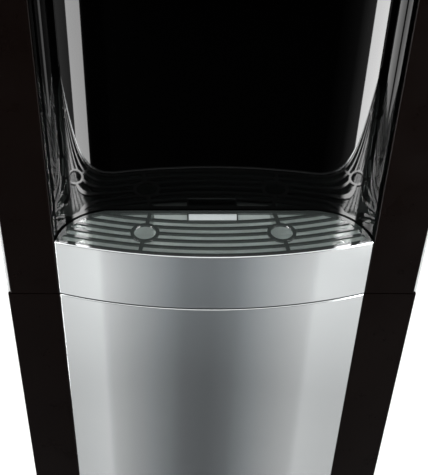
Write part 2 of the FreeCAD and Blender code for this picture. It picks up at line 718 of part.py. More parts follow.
def make_grille():
    """Arched ribs on the bow's own axis, tied by an outer rim and two crossing ribs."""
    z = ("grille_top - grille_thick", "grille_top")
    outline = common(bay_block("-tray_gap", z), bow("bow_skin + gap", z))
    hollow = common(bay_block("-tray_gap - rim_width", z), bow("bow_skin + gap + rib_width", z))
    rim = cut(outline, hollow)
    ribs = []
    for k in range(RIB_COUNT):
        middle = f"bow_radius - first_rib + rib_pitch * {k}"
        ribs.append(cut(bow(f"{middle} - rib_width / 2", z), bow(f"{middle} + rib_width / 2", z)))
    lattice = fuse(*ribs)
    arches = common(lattice, box(("-bay_half", "bay_half"), ("-half_depth", "bay_back"), z))

    reach = math.hypot(size("finger_x"), size("bow_centre") - size("finger_y"))
    lean = math.degrees(math.asin(size("finger_x") / reach))
    rings = []
    holes = []
    bar_length = 80
    for side in SIDES:
        x = f"finger_x * ({side})"
        rings.append(rod(x, "finger_y", z[0], "finger_ring", "grille_thick"))
        holes.append(rod(x, "finger_y", f"{z[0]} - 1", "finger_hole", "grille_thick + 2"))
        bar = doc.addObject("Part::Box", "bar")
        bind(bar, "Length", "cross_rib")
        bind(bar, "Width", bar_length)
        bind(bar, "Height", "grille_thick")
        turn = Rotation(Vector(0, 0, 1), lean * side)
        start = turn.multVec(Vector(-size("cross_rib") / 2, -bar_length / 2, 0))
        place(bar, f"{x} + ({start.x})", f"finger_y + ({start.y})", z[0], turn)
        rings.append(bar)
    seat = box(("-tab_half - 1", "tab_half + 1"), ("tab_front - 1", "bay_back - tray_gap - rim"), z)
    key = box(("-key_half", "key_half"), ("tab_front + 2", "tab_back"), (f"{z[0]} - key_depth", z[0]))
    inner = common(fuse(arches, seat, *rings), outline)
    tab_x = ("-tab_half", "tab_half")
    tab_y = ("tab_front", "tab_back")
    recess = box(tab_x, tab_y, ("grille_top - tab_sunk", "grille_top + 1"))
    node("tray_grille", cut(fuse(rim, inner, key), recess, *holes))

    foot = box(tab_x, tab_y, ("grille_top - tab_sunk", "grille_top"))
    slope = doc.addObject("Part::Wedge", "slope")
    for prop, text in (("Xmin", 0), ("X2min", 0), ("Ymin", 0), ("Zmin", 0),
                       ("Xmax", "tab_half * 2"), ("X2max", "tab_half * 2"), ("Ymax", "tab_rise"),
                       ("Zmax", "tab_back - tab_front"), ("Z2min", "tab_crest - tab_front"),
                       ("Z2max", "tab_back - tab_front")):
        bind(slope, prop, text)
    place(slope, "tab_half", "tab_front", "grille_top",
          Rotation(Vector(-1, 0, 0), Vector(0, 0, 1), Vector(0, 1, 0)))
    node("grille_tab", fuse(foot, slope))


# ---- door ----

def make_door():
    side = "case_half + panel_proud"
    z = ("door_bottom", "door_top")
    outside = box((f"-({side})", side), ("face_y", "face_y + door_depth"), z)
    hollow = box((f"-({side} - frame_wall)", f"{side} - frame_wall"),
                 ("face_y + 2.5 + frame_wall", "face_y + door_depth + 1"),
                 ("door_bottom + frame_wall", "door_top - frame_wall"))
    recess = box(("-band_half", "band_half"), ("face_y - 1", "face_y + frame_wall"),
                 ("door_bottom - 1", "seam + 1"))
    upper_bush = "door_top - bush_length"
    blocks = []
    bores = []
    for low in ("door_bottom + bush_length - bush_block", upper_bush):
        blocks.append(box(("hinge_x - 8", "hinge_x + 8"), ("hinge_y - 9", "hinge_y + 8"),
                          (low, f"{low} + bush_block")))
        bores.append(rod("hinge_x", "hinge_y", f"{low} - 5", "bush_radius", "bush_block + 10"))
    shell = cut(outside, hollow, recess)
    upright_round = 0.8
    corners = fillet(shell, upright_round, lambda edge: upright(edge) and edge.Length > LONG_EDGE
                     and abs(edge.Vertexes[0].Point.y - size("face_y")) < 0.01)
    node("door_frame", cut(fuse(corners, *blocks), *bores))

    bushes = [cut(rod("hinge_x", "hinge_y", low, "bush_radius", "bush_length"),
                  rod("hinge_x", "hinge_y", f"{low} - 1", "hinge_pin + pin_fit", "bush_length + 2"))
              for low in ("door_bottom", upper_bush)]
    node("hinge_bushes", group(bushes))

    front, inside = bowed_panel("band_half - 0.5", "face_y + frame_wall - 0.1", z,
                                ("door_bottom + skin", "door_top - skin"))
    edge_round = 1.5
    front = fillet(front, edge_round, lambda edge: front_edge(edge, "door_top")
                   or front_edge(edge, "door_bottom"))
    node("door_front_panel", cut(front, inside))

    back_y = "face_y + door_depth"
    liner = box((f"-({side} - liner_inset)", f"{side} - liner_inset"), (f"{back_y} - 3", back_y),
                ("door_bottom + liner_inset", "door_top - liner_inset"))
    panel_recess = box(("-case_half + panel_margin", "case_half - panel_margin"),
                       (f"{back_y} - 1.2", f"{back_y} + 1"),
                       ("door_bottom + panel_margin", "door_top - 1.5 - panel_margin"))
    relief_height = "bush_length + 1"
    reliefs = [box(("hinge_x - 9", "hinge_x + 12"), ("hinge_y - 9", "hinge_y + 30"), span)
               for span in (("door_bottom", f"door_bottom + {relief_height}"),
                            (f"door_top - 0.5 - ({relief_height})", "seam"))]
    node("door_inner_panel", cut(liner, panel_recess, *reliefs))

    strike_x = (-150, -130)
    strike_z = (545, 585)
    strike_thick = 1.5
    node("door_strike", box(strike_x, (back_y, f"{back_y} + {strike_thick}"), strike_z))


def make_hinges():
    """A plate over the door and one under it, each with its pin."""
    upper_z = ("seam + 1.5", "seam + 4.5")
    lower_z = ("plinth_top", "plinth_top + 1.4")
    plates = [box(("hinge_x - 14", "case_half - skin - 0.5"), ("hinge_y - 11", "cabinet_front + 8"),
                  upper_z),
              box(("hinge_x - 14", "case_half - inset"), ("hinge_y - 9", "cabinet_front - 1"),
                  lower_z)]
    bores = [rod("hinge_x", "hinge_y", f"{low} - 5", "hinge_pin", 15) for low in (upper_z[0], lower_z[0])]
    node("hinge_brackets", group([cut(plate, bore) for plate, bore in zip(plates, bores)]))
    spans = (("seam - bush_length", upper_z[1]), (lower_z[0], "door_bottom + bush_length - 1"))
    pins = [rod("hinge_x", "hinge_y", low, "hinge_pin", f"({high}) - ({low})") for low, high in spans]
    node("hinge_pins", group(pins))


# ---- cabinet ----

def make_cabinet():
    """Storage behind the door, with a step at the back that clears the compressor."""
    half = "cabinet_half"
    upper = box((f"-{half}", half), ("cabinet_front", "cabinet_back"), ("step_top", "cabinet_top"))
    lower = box((f"-{half}", half), ("cabinet_front", "step_front"), ("cabinet_floor", "step_top"))
    inner = f"{half} - skin"
    upper_room = box((f"-({inner})", inner), ("cabinet_front - 1", "cabinet_back - skin"),
                     ("step_top + skin", "cabinet_top - skin"))
    lower_room = box((f"-({inner})", inner), ("cabinet_front - 1", "step_front - skin"),
                     ("cabinet_floor + skin", "step_top + 10"))
    hose_hole = rod("regulator_x", "regulator_y", "cabinet_top - 10", "hose_hole", 20)
    node("cabinet_liner", cut(fuse(upper, lower), upper_room, lower_room, hose_hole))

    catch_y = ("face_y + door_depth + 2", "face_y + door_depth + 16")
    node("magnetic_catch", box(("-cabinet_half + skin", -129), catch_y, (540, 590)))

    across = ("-case_half + inset", "case_half - inset")
    shelf = box(across, ("bay_back + skin + 0.5", "rear_y - 0.5"),
                ("shelf_bottom", "shelf_bottom + shelf_thick"))
    flange = box(across, ("rear_y - 0.5 - shelf_thick", "rear_y - 0.5"),
                 ("shelf_bottom", "shelf_bottom + shelf_lip"))
    holes = [rod(x, y, "shelf_bottom - 11", radius, 30) for x, y, radius in shelf_holes()]
    node("equipment_shelf", cut(fuse(shelf, flange), *holes))


def shelf_holes():
    """Where lines pass through the shelf: gas hose, suction line, water supply."""
    return [("regulator_x", "regulator_y", "hose_hole"),
            ("tank_x - tank_radius - coil_tube - coil_play", "riser_y", "riser_hole"),
            ("water_x", "riser_y", "riser_hole")]


def make_regulator():
    """Gas regulator on the left wall of the cabinet, with a hand knob below."""
    x, y, low = "regulator_x", "regulator_y", "regulator_low"
    bonnet_height = 20
    body = rod(x, y, low, "regulator_body", 50)
    bonnet = cone(x, y, f"{low} - {bonnet_height}", 9, "regulator_body", bonnet_height)
    arm = box(("-cabinet_half + skin", f"{x} - 5"), (f"{y} - 6", f"{y} + 6"),
              (f"{low} + 16", f"{low} + 32"))
    gauge = rod(x, f"{y} - 27", f"{low} + 35", "gauge_radius", 14, "Y")
    outlet = rod(x, y, f"{low} + 48", "gas_tube + 1", 12)
    inlet = rod(f"{x} + 12", y, f"{low} + 16", "port_radius", 22, "X")
    screw_bore = rod(x, y, f"{low} - 25", "screw_thread + screw_play", 22)
    node("gas_regulator", cut(fuse(body, bonnet, arm, gauge, outlet, inlet), screw_bore))

    knob_bottom = f"{low} - 42"
    knob_height = 18
    flute_radius = 2.2
    flute_ring = 13
    knob = rod(x, y, knob_bottom, 12, knob_height)
    screw = rod(x, y, f"{low} - 30", "screw_thread", 22)
    flutes = []
    for turn in range(0, 360, 45):
        across = flute_ring * math.cos(math.radians(turn))
        along = flute_ring * math.sin(math.radians(turn))
        flutes.append(rod(f"{x} + ({across})", f"{y} + ({along})", f"{knob_bottom} - 1",
                          flute_radius, knob_height + 2))
    node("regulator_knob", cut(fuse(knob, screw), *flutes))


# ---- cooling and water ----

def make_tank():
    """A stainless tank in two foam half shells, with the evaporator coil wound round it."""
    wall = 1
    end_round = 18
    x, y = "tank_x", "tank_y"
    height = "tank_top - tank_bottom"
    shell = rod(x, y, "tank_bottom", "tank_radius", height)
    ends = (size("tank_bottom"), size("tank_top"))
    rounded = fillet(shell, end_round, lambda edge: any(level(edge, z) for z in ends))
    neck = rod(x, y, "tank_top - 2", "tank_neck", "neck_rise + 2")
    room = rod(x, y, f"tank_bottom + {wall}", f"tank_radius - {wall}", f"{height} - 2 * {wall}")
    room_ends = (ends[0] + wall, ends[1] - wall)
    rounded_room = fillet(room, end_round - wall,
                          lambda edge: any(level(edge, z) for z in room_ends))
    bore = rod(x, y, "tank_top - 5", "port_bore", "neck_rise + 8")
    node("cold_tank", cut(fuse(rounded, neck), fuse(rounded_room, bore)))

    pitch = f"(tank_top - tank_bottom - coil_spare) / {COIL_TURNS}"
    rings = [ring(x, y, f"tank_bottom + coil_low + {pitch} * {k}",
                  "tank_radius + coil_tube + coil_play", "coil_tube") for k in range(COIL_TURNS)]
    header_x = "tank_x - tank_radius - coil_tube - coil_play"
    header_radius = "coil_tube - 0.5"
    header_top = f"tank_bottom + coil_low + {pitch} * {COIL_TURNS - 1}"
    header = rod(header_x, y, "header_z", header_radius, f"{header_top} - header_z")
    node("evaporator_coil", fuse(header, *rings))

    low = "shelf_bottom + shelf_thick + support_height"
    high = "tank_top + foam_end + 3"
    for label, span in (("foam_front", ("tank_y - foam_outer - 1", "tank_y")),
                        ("foam_rear", ("tank_y", "tank_y + foam_outer + 1"))):
        outside = rod(x, y, low, "foam_outer", f"{high} - ({low})")
        hollow = rod(x, y, "tank_bottom", "foam_inner", "tank_top + 3 - tank_bottom")
        neck_hole = rod(x, y, "tank_top", "tank_neck", 40)
        header_hole = rod(header_x, y, "header_z - 4", header_radius, 60)
        half = box(("tank_x - foam_outer - 1", "tank_x + foam_outer + 1"), span,
                   (f"{low} - 1", f"{high} + 1"))
        node(label, common(cut(outside, hollow, neck_hole, header_hole), half))

    legs = []
    for side in SIDES:
        for end in SIDES:
            leg_x = f"tank_x + support_reach * ({side})"
            leg_y = f"tank_y + support_reach * ({end})"
            legs.append(box((f"{leg_x} - support_half", f"{leg_x} + support_half"),
                            (f"{leg_y} - support_half", f"{leg_y} + support_half"),
                            ("shelf_bottom + shelf_thick", low)))
    node("tank_supports", group(legs))


def make_carbonator():
    """A steel vessel on a skirt with three ports, and the pump that feeds it."""
    x, y = "carbonator_x", "carbonator_y"
    shelf = "shelf_bottom + shelf_thick"
    low = f"{shelf} + carbonator_lift"
    end_round = 14
    wall = size("shell_wall")
    bottom = size("shelf_bottom") + size("shelf_thick") + size("carbonator_lift")
    ends = (bottom, bottom + size("carbonator_tall"))
    room_ends = (ends[0] + wall, ends[1] - wall)
    shell = rod(x, y, low, "carbonator_radius", "carbonator_tall")
    rounded = fillet(shell, end_round, lambda edge: any(level(edge, z) for z in ends))
    skirt = rod(x, y, shelf, 30, "carbonator_lift + 1")
    places = [f"{x} + port_spacing * ({k})" for k in PORTS]
    ports = [rod(place_x, y, f"{low} + carbonator_tall - 10", "port_radius", "port_rise + 10")
             for place_x in places]
    room = rod(x, y, f"{low} + shell_wall", "carbonator_radius - shell_wall",
               "carbonator_tall - 2 * shell_wall")
    rounded_room = fillet(room, end_round - wall,
                          lambda edge: any(level(edge, z) for z in room_ends))
    bores = [rod(place_x, y, f"{low} + carbonator_tall - 15", "gas_tube", 40) for place_x in places]
    node("carbonator", cut(fuse(rounded, skirt, *ports), fuse(rounded_room, *bores)))

    x, y = "pump_x", "pump_y"
    foot_half = 30
    motor = rod(x, y, f"{shelf} + pump_lift", "pump_radius", "pump_tall")
    foot = box((f"{x} - {foot_half}", f"{x} + {foot_half}"), (f"{y} - {foot_half}", f"{y} + {foot_half}"),
               (shelf, f"{shelf} + pump_lift + 1"))
    node("pump_motor", fuse(motor, foot))
    head = rod(x, y, f"{shelf} + pump_lift + pump_tall", 22, 34)
    ports = rod(f"{x} - port_reach", y, f"{shelf} + pump_port", 6, "port_reach * 2", "X")
    node("pump_head", fuse(head, ports))


def make_water_lines():
    """Product, supply and gas tubes, each from port to port."""
    valve_y = size("nozzle_y") + size("valve_back")
    valve_z = size("valve_port")
    spacing = size("nozzle_spacing")
    shelf = size("shelf_bottom") + size("shelf_thick")
    riser_y = size("riser_y")
    rise = 22
    tank = Vector(size("tank_x"), size("tank_y"), size("tank_top") + size("neck_rise"))
    port_z = shelf + size("carbonator_lift") + size("carbonator_tall") + size("port_rise")
    carbonator = Vector(size("carbonator_x"), size("carbonator_y"), port_z)
    pump_x, pump_y = size("pump_x"), size("pump_y")
    pump_z = shelf + size("pump_port")
    reach = size("port_reach")
    water_x, inlet_z = size("water_x"), size("inlet_z")
    side_x = pump_x + reach + 10
    cold = [tank, tank + Vector(0, 0, rise), Vector(-spacing, -60, tank.z + rise),
            Vector(-spacing, -60, valve_z), Vector(-spacing, valve_y, valve_z)]
    soda = [carbonator, carbonator + Vector(0, 0, 30), Vector(0, -75, port_z + 30),
            Vector(0, -75, valve_z), Vector(0, valve_y, valve_z)]
    plain = [Vector(pump_x + reach, pump_y, pump_z), Vector(side_x, pump_y, pump_z),
             Vector(side_x, pump_y, valve_z - 17), Vector(side_x, -88, valve_z - 17),
             Vector(spacing, -88, valve_z), Vector(spacing, valve_y, valve_z)]
    supply = [Vector(water_x, size("rear_y") - 14, inlet_z), Vector(water_x, riser_y, inlet_z),
              Vector(water_x, riser_y, pump_z), Vector(water_x, pump_y, pump_z),
              Vector(pump_x - reach, pump_y, pump_z)]
    routes = (cold, soda, plain, supply)
    water_bend = 7
    tubes = [tube(route, size("water_tube"), water_bend) for route in routes]
    shape_node("water_lines", Part.makeCompound(tubes))

    front = size("bay_back") + size("skin") + 8
    hose_x, hose_y = size("regulator_x"), size("regulator_y")
    low_z = size("header_z")
    outlet = Vector(hose_x, hose_y, size("regulator_low") + 60)
    port = carbonator + Vector(size("port_spacing"), 0, 0)
    over_z = port_z + 16
    gas = [outlet, Vector(hose_x, hose_y, low_z), Vector(hose_x, front, low_z),
           Vector(150, front, low_z), Vector(150, front, over_z),
           Vector(port.x, front, over_z), Vector(port.x, port.y, over_z), port]
    gas_bend = 6
    shape_node("gas_line", tube(gas, size("gas_tube"), gas_bend))


def make_compressor():
    """A domed shell welded to a foot plate that stands on four rubber grommets."""
    x, y = "compressor_x", "compressor_y"
    dome = 26
    ends = (size("compressor_bottom"), size("compressor_top"))
    shell = rod(x, y, "compressor_bottom", "compressor_radius", "compressor_top - compressor_bottom")
    domed = fillet(shell, dome, lambda edge: any(level(edge, z) for z in ends))
    plate = box((f"{x} - grommet_x - 12", f"{x} + grommet_x + 12"),
                (f"{y} - grommet_y - 12", f"{y} + grommet_y + 12"), ("plate_low", "plate_top"))
    places = [(f"{x} + grommet_x * ({side})", f"{y} + grommet_y * ({end})")
              for side in SIDES for end in SIDES]
    holes = [rod(hole_x, hole_y, 30, "grommet_neck", 30) for hole_x, hole_y in places]
    terminal_cover = box((f"{x} + 48", f"{x} + 70"), (f"{y} - 20", f"{y} + 20"), (90, 140))
    node("compressor", fuse(domed, cut(plate, *holes), terminal_cover))

    low = "foot_height + pan_wall"
    grommets = []
    for hole_x, hole_y in places:
        pad = rod(hole_x, hole_y, low, 10, f"plate_low - ({low})")
        neck = rod(hole_x, hole_y, low, "grommet_neck", f"plate_top + 5 - ({low})")
        cap = rod(hole_x, hole_y, "plate_top", 9, 5)
        grommets.append(fuse(pad, neck, cap))
    node("compressor_grommets", group(grommets))


def make_condenser():
    """Serpentine tube with welded wires, on stand-offs behind the rear panel."""
    half = size("condenser_half")
    low, high = size("condenser_low"), size("condenser_high")
    wire = size("wire_radius")
    offset = size("condenser_tube") + wire + size("weld_play")
    plane = size("half_depth") - wire - offset
    pitch = (high - low) / (CONDENSER_RUNS - 1)
    route = []
    for run in range(CONDENSER_RUNS):
        ends = (-half, half) if run % 2 == 0 else (half, -half)
        route += [Vector(x, plane, low + pitch * run) for x in ends]
    shape_node("condenser_tube", tube(route, size("condenser_tube"), pitch / 2 - 0.5))

    overhang = 10
    frame = 6
    wires = []
    for k in range(CONDENSER_WIRES):
        x = (half - 18) * (2 * k / (CONDENSER_WIRES - 1) - 1)
        for y in (plane - offset, plane + offset):
            wires.append(rod(x, y, low - overhang, "wire_radius", high - low + 2 * overhang))
    front = plane - offset - wire
    bars = []
    brackets = []
    for z in (low - overhang + wire, high + overhang - wire):
        bars.append(box((-half - frame, half + frame), (front, plane + offset + wire),
                        (z - wire, z + wire)))
        for x in (-half - frame, half):
            brackets.append(box((x, x + frame), ("rear_y + sheet", front), (z - 5, z + 5)))
    node("condenser_wires", fuse(*wires, *bars))
    node("condenser_brackets", group(brackets))
    make_refrigerant_lines(half, low, high, plane)


def make_refrigerant_lines(half, low, high, plane):
    """Discharge, liquid and suction lines, and the filter drier at the end of the liquid line."""
    top = Vector(size("compressor_x"), size("compressor_y"), size("compressor_top"))
    outer = half + 16
    out_x, out_z = size("discharge_x"), size("discharge_z")
    discharge = [top + Vector(15, 10, 0), top + Vector(15, 10, 20), Vector(60, 112, top.z + 20),
                 Vector(out_x, 112, out_z), Vector(out_x, plane, out_z), Vector(-outer, plane, out_z),
                 Vector(-outer, plane, low), Vector(-half, plane, low)]
    drier_x, drier_y, drier_top = size("drier_x"), size("drier_y"), size("drier_top")
    liquid_z = size("liquid_z")
    liquid = [Vector(half, plane, high), Vector(drier_x, plane, high),
              Vector(drier_x, plane, liquid_z), Vector(drier_x, drier_y, liquid_z),
              Vector(drier_x, drier_y, drier_top)]
    header_x = size("tank_x") - size("tank_radius") - size("coil_tube") - size("coil_play")
    header_z = size("header_z")
    riser_y = size("riser_y")
    suction = [Vector(header_x, size("tank_y"), header_z), Vector(header_x, size("tank_y"), header_z - 12),
               Vector(header_x, riser_y, header_z - 12), Vector(header_x, riser_y, top.z + 17),
               top + Vector(-14, 8, 17), top + Vector(-14, 8, 0)]
    line, thick_line = size("line_radius"), size("suction_radius")
    bend = 5
    lines = [tube(route, radius, bend)
             for route, radius in ((discharge, line), (liquid, line), (suction, thick_line))]
    shape_node("refrigerant_lines", Part.makeCompound(lines))

    body_top = "drier_top - drier_taper"
    body_low = f"{body_top} - drier_body"
    node("filter_drier", fuse(
        rod("drier_x", "drier_y", body_low, "drier_radius", "drier_body"),
        cone("drier_x", "drier_y", body_top, "drier_radius", 3, "drier_taper"),
        cone("drier_x", "drier_y", f"{body_low} - drier_taper", 3, "drier_radius", "drier_taper")))


# ---- controls on the rear panel ----

def make_rear_controls():
    make_power_inlet()
    make_rear_switches()
    make_thermostat()


def make_power_inlet():
    """A recessed mains inlet with three blades."""
    wall = 1.5
    flange_half = 20
    flange_tall = 12
    inner_wide = f"inlet_wide - {wall}"
    inner_tall = "inlet_tall - 1.8"
    inlet = centred("controls_x", "rear_y - 6", "inlet_z", "inlet_wide", 10, "inlet_tall")
    flange = box((f"controls_x - {flange_half}", f"controls_x + {flange_half}"),
                 ("rear_y + sheet", "rear_y + sheet + 2.8"),
                 (f"inlet_z - {flange_tall}", f"inlet_z + {flange_tall}"))
    hollow = box((f"controls_x - ({inner_wide})", f"controls_x + ({inner_wide})"),
                 ("rear_y - 13", "rear_y + 10"),
                 (f"inlet_z - ({inner_tall})", f"inlet_z + ({inner_tall})"))
    blade_places = ((-7, -2), (0, 3), (7, -2))
    blades = [centred(f"controls_x + ({dx})", "rear_y - 8", f"inlet_z + ({dz})", 1, 7, 2)
              for dx, dz in blade_places]
    node("power_inlet", fuse(cut(fuse(inlet, flange), hollow), *blades))


def make_rear_switches():
    """Two snap-in housings, each with a rocker that leans to its off side at rest."""
    rim_wide = 8.5
    rim_tall = 12
    pocket_wide = 5.6
    pocket_tall = 9.2
    housings = []
    for label, z in (("switch_main", "main_switch_z"), ("switch_cooling", "cool_switch_z")):
        body = centred("controls_x", "rear_y - 5", z, "switch_wide", 9, "switch_tall")
        rim = box((f"controls_x - {rim_wide}", f"controls_x + {rim_wide}"),
                  ("rear_y + sheet", "rear_y + sheet + 1.8"), (f"{z} - {rim_tall}", f"{z} + {rim_tall}"))
        pocket = box((f"controls_x - {pocket_wide}", f"controls_x + {pocket_wide}"),
                     ("rear_y - 8", "rear_y + 10"), (f"{z} - {pocket_tall}", f"{z} + {pocket_tall}"))
        housings.append(cut(fuse(body, rim), pocket))
        rocker = doc.addObject("Part::Box", "rocker")
        bind(rocker, "Length", "rocker_wide * 2")
        bind(rocker, "Width", "rocker_deep * 2")
        bind(rocker, "Height", "rocker_tall * 2")
        turn = Rotation(Vector(1, 0, 0), -size("rocker_tilt"))
        corner = Vector(size("rocker_wide"), size("rocker_deep"), size("rocker_tall"))
        start = turn.multVec(corner * -1)
        place(rocker, f"controls_x + ({start.x})", f"rear_y + 0.5 + ({start.y})",
              f"{z} + ({start.z})", turn)
        node(label, rocker)
    node("switch_housings", group(housings))


def make_thermostat():
    x, z = "controls_x", "thermostat_z"
    body = centred(x, "rear_y - 11", z, 15, 10, 12)
    neck = rod(x, "rear_y - 3", z, "neck_radius", 6, "Y")
    bore = rod(x, "rear_y - 15", z, "knob_shaft + screw_play", 30, "Y")
    node("thermostat", cut(fuse(body, neck), bore))
    dial = cone(x, "rear_y + 5", z, "knob_radius", "knob_radius - 2", 10, "Y")
    grip = centred(x, "rear_y + 17", z, 2.5, 3.5, "knob_radius - 3")
    shaft = rod(x, "rear_y - 12", z, "knob_shaft", 20, "Y")
    node("thermostat_knob", fuse(dial, grip, shaft))


def make_water_inlet():
    """A bulkhead push fitting with a nut on each side of the rear panel."""
    barrel = rod("water_x", "rear_y - 14", "inlet_z", "inlet_barrel", 32, "Y")
    nut = rod("water_x", "rear_y + sheet", "inlet_z", "inlet_nut", 5, "Y")
    back_nut = rod("water_x", "rear_y - 6", "inlet_z", "inlet_nut", 6, "Y")
    socket = rod("water_x", "rear_y + 1", "inlet_z", "push_fit", 30, "Y")
    node("water_inlet", cut(fuse(barrel, nut, back_nut), socket))


def make_power_board():
    """The power board on four posts, with a transformer, a relay, two capacitors and a terminal."""
    back = "rear_y - 16"
    left, right = 66, 150
    low, high = 690, 830
    board = box((left, right), (back, f"{back} + board_thick"), (low, high))
    transformer = box((left + 10, left + 50), (f"{back} - 30", back), (high - 40, high - 4))
    relay = box((right - 28, right - 6), (f"{back} - 18", back), (high - 50, high - 8))
    capacitors = [rod(x, f"{back} - 24", low + 55, 9, 24, "Y") for x in (right - 20, left + 40)]
    terminal = box((left + 6, right - 6), (f"{back} - 12", back), (low + 6, low + 18))
    posts = [rod(x, "rear_y - 15", z, 3, 15, "Y")
             for x in (left + 6, right - 6) for z in (low + 30, low + 75)]
    node("power_board", fuse(board, transformer, relay, *capacitors, terminal, *posts))


def build():
    make_base()
    make_side_panel("side_panel_left", "-case_half - panel_proud", "-case_half")
    make_side_panel("side_panel_right", "case_half", "case_half + panel_proud")
    make_rear_panel()
    make_top_cover()
    make_upper_casing()
    make_alcove_liner()
    make_fascia()
    for k in NOZZLE_PLACES:
        make_button(k)
    make_control_board()
    make_nozzles()
    make_tray()
    make_grille()
    make_door()
    make_hinges()
    make_cabinet()
    make_regulator()
    make_tank()
    make_carbonator()
    make_water_lines()
    make_compressor()
    make_condenser()
    make_rear_controls()
    make_water_inlet()
    make_power_board()
    doc.recompute()


def check():
    """Stop before anything is written if an object failed or a shape is broken."""
    for obj in doc.Objects:
        if "Invalid" in obj.State or "Error" in obj.State:
            raise RuntimeError(f"{obj.Name} ({obj.Label}) failed: {obj.State}")
    labels = [obj.Label for obj in nodes]
    if len(set(labels)) != len(labels):
        raise RuntimeError("two sub-parts share a label")
    for obj in nodes:
        if obj.Shape.isNull() or not obj.Shape.isValid() or not obj.Shape.Solids:
            raise RuntimeError(f"{obj.Label} has no valid solid")


def write():
    os.makedirs("parts", exist_ok=True)
    for obj in nodes:
        obj.Shape.exportStep(f"parts/{obj.Label}.step")
        bounds = obj.Shape.BoundBox
        print(f"{obj.Label:22s} solids {len(obj.Shape.Solids):3d}  volume {obj.Shape.Volume / 1000:9.1f} cm3"
              f"  z {bounds.ZMin:7.1f} {bounds.ZMax:7.1f}")


build()
check()
write()
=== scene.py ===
import json
import math

import bmesh
import bpy
from mathutils import Matrix, Vector


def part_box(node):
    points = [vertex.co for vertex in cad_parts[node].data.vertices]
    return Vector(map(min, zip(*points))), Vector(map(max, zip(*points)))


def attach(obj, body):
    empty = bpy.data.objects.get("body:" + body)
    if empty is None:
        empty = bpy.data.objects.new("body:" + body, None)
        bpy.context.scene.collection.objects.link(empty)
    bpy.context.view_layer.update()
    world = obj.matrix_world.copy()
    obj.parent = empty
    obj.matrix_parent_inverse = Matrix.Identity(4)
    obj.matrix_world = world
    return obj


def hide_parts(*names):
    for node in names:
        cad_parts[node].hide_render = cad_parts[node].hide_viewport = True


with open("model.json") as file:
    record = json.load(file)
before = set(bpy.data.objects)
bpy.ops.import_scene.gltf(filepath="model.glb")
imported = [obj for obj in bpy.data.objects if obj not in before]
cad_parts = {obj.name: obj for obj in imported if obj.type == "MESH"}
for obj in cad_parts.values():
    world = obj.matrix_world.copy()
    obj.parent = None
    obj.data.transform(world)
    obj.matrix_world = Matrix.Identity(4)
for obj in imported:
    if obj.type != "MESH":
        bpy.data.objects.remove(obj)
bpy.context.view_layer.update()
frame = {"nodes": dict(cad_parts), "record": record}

NODES = frame["nodes"]


# ---------------------------------------------------------------- node helpers

class Graph:
    """A material's node tree, with short calls for the nodes that the finishes share."""

    def __init__(self, name):
        self.material = bpy.data.materials.new(name)
        self.material.use_nodes = True
        self.tree = self.material.node_tree
        self.tree.nodes.clear()
        self.output = self.tree.nodes.new("ShaderNodeOutputMaterial")
        self.shader = self.tree.nodes.new("ShaderNodeBsdfPrincipled")
        self.link(self.shader.outputs["BSDF"], self.output.inputs["Surface"])
        self.point = self.tree.nodes.new("ShaderNodeTexCoord").outputs["Object"]

    def link(self, source, target):
        self.tree.links.new(source, target)

    def set(self, **values):
        """Uniform values, straight onto the shader's own sockets."""
        for key, value in values.items():
            self.shader.inputs[key.replace("_", " ")].default_value = value
        return self

    def stretched(self, scale):
        """Object coordinates scaled by a triple, for grain that runs one way."""
        node = self.tree.nodes.new("ShaderNodeMapping")
        node.inputs["Scale"].default_value = scale
        self.link(self.point, node.inputs["Vector"])
        return node.outputs["Vector"]

    def noise(self, scale, detail=3.0, rough=0.5, stretch=None):
        node = self.tree.nodes.new("ShaderNodeTexNoise")
        node.inputs["Scale"].default_value = scale
        node.inputs["Detail"].default_value = detail
        node.inputs["Roughness"].default_value = rough
        self.link(self.stretched(stretch) if stretch else self.point, node.inputs["Vector"])
        return node.outputs["Fac"]

    def cells(self, scale, feature="F1", output="Distance"):
        node = self.tree.nodes.new("ShaderNodeTexVoronoi")
        node.feature = feature
        node.inputs["Scale"].default_value = scale
        self.link(self.point, node.inputs["Vector"])
        return node.outputs[output]

    def remap(self, value, low, high, to_low, to_high):
        node = self.tree.nodes.new("ShaderNodeMapRange")
        self.link(value, node.inputs["Value"])
        for key, number in (("From Min", low), ("From Max", high), ("To Min", to_low), ("To Max", to_high)):
            node.inputs[key].default_value = number
        return node.outputs["Result"]

    def math(self, operation, first, second):
        node = self.tree.nodes.new("ShaderNodeMath")
        node.operation = operation
        for socket, value in zip(node.inputs, (first, second)):
            if isinstance(value, (int, float)):
                socket.default_value = value
            else:
                self.link(value, socket)
        return node.outputs[0]

    def blend(self, factor, first, second):
        """A colour between two colours, by a mix node's colour sockets."""
        node = self.tree.nodes.new("ShaderNodeMix")
        node.data_type = "RGBA"
        self.link(factor, node.inputs["Factor"])
        for socket, value in ((node.inputs[6], first), (node.inputs[7], second)):
            if isinstance(value, tuple):
                socket.default_value = (*value, 1.0)
            else:
                self.link(value, socket)
        return node.outputs[2]

    def colour(self, source):
        self.link(source, self.shader.inputs["Base Color"])
        return self

    def roughness(self, source):
        self.link(source, self.shader.inputs["Roughness"])
        return self

    def bump(self, height, strength, distance=0.001):
        node = self.tree.nodes.new("ShaderNodeBump")
        node.inputs["Strength"].default_value = strength
        node.inputs["Distance"].default_value = distance
        self.link(height, node.inputs["Height"])
        self.link(node.outputs["Normal"], self.shader.inputs["Normal"])
        return self


# ---------------------------------------------------------------- finishes

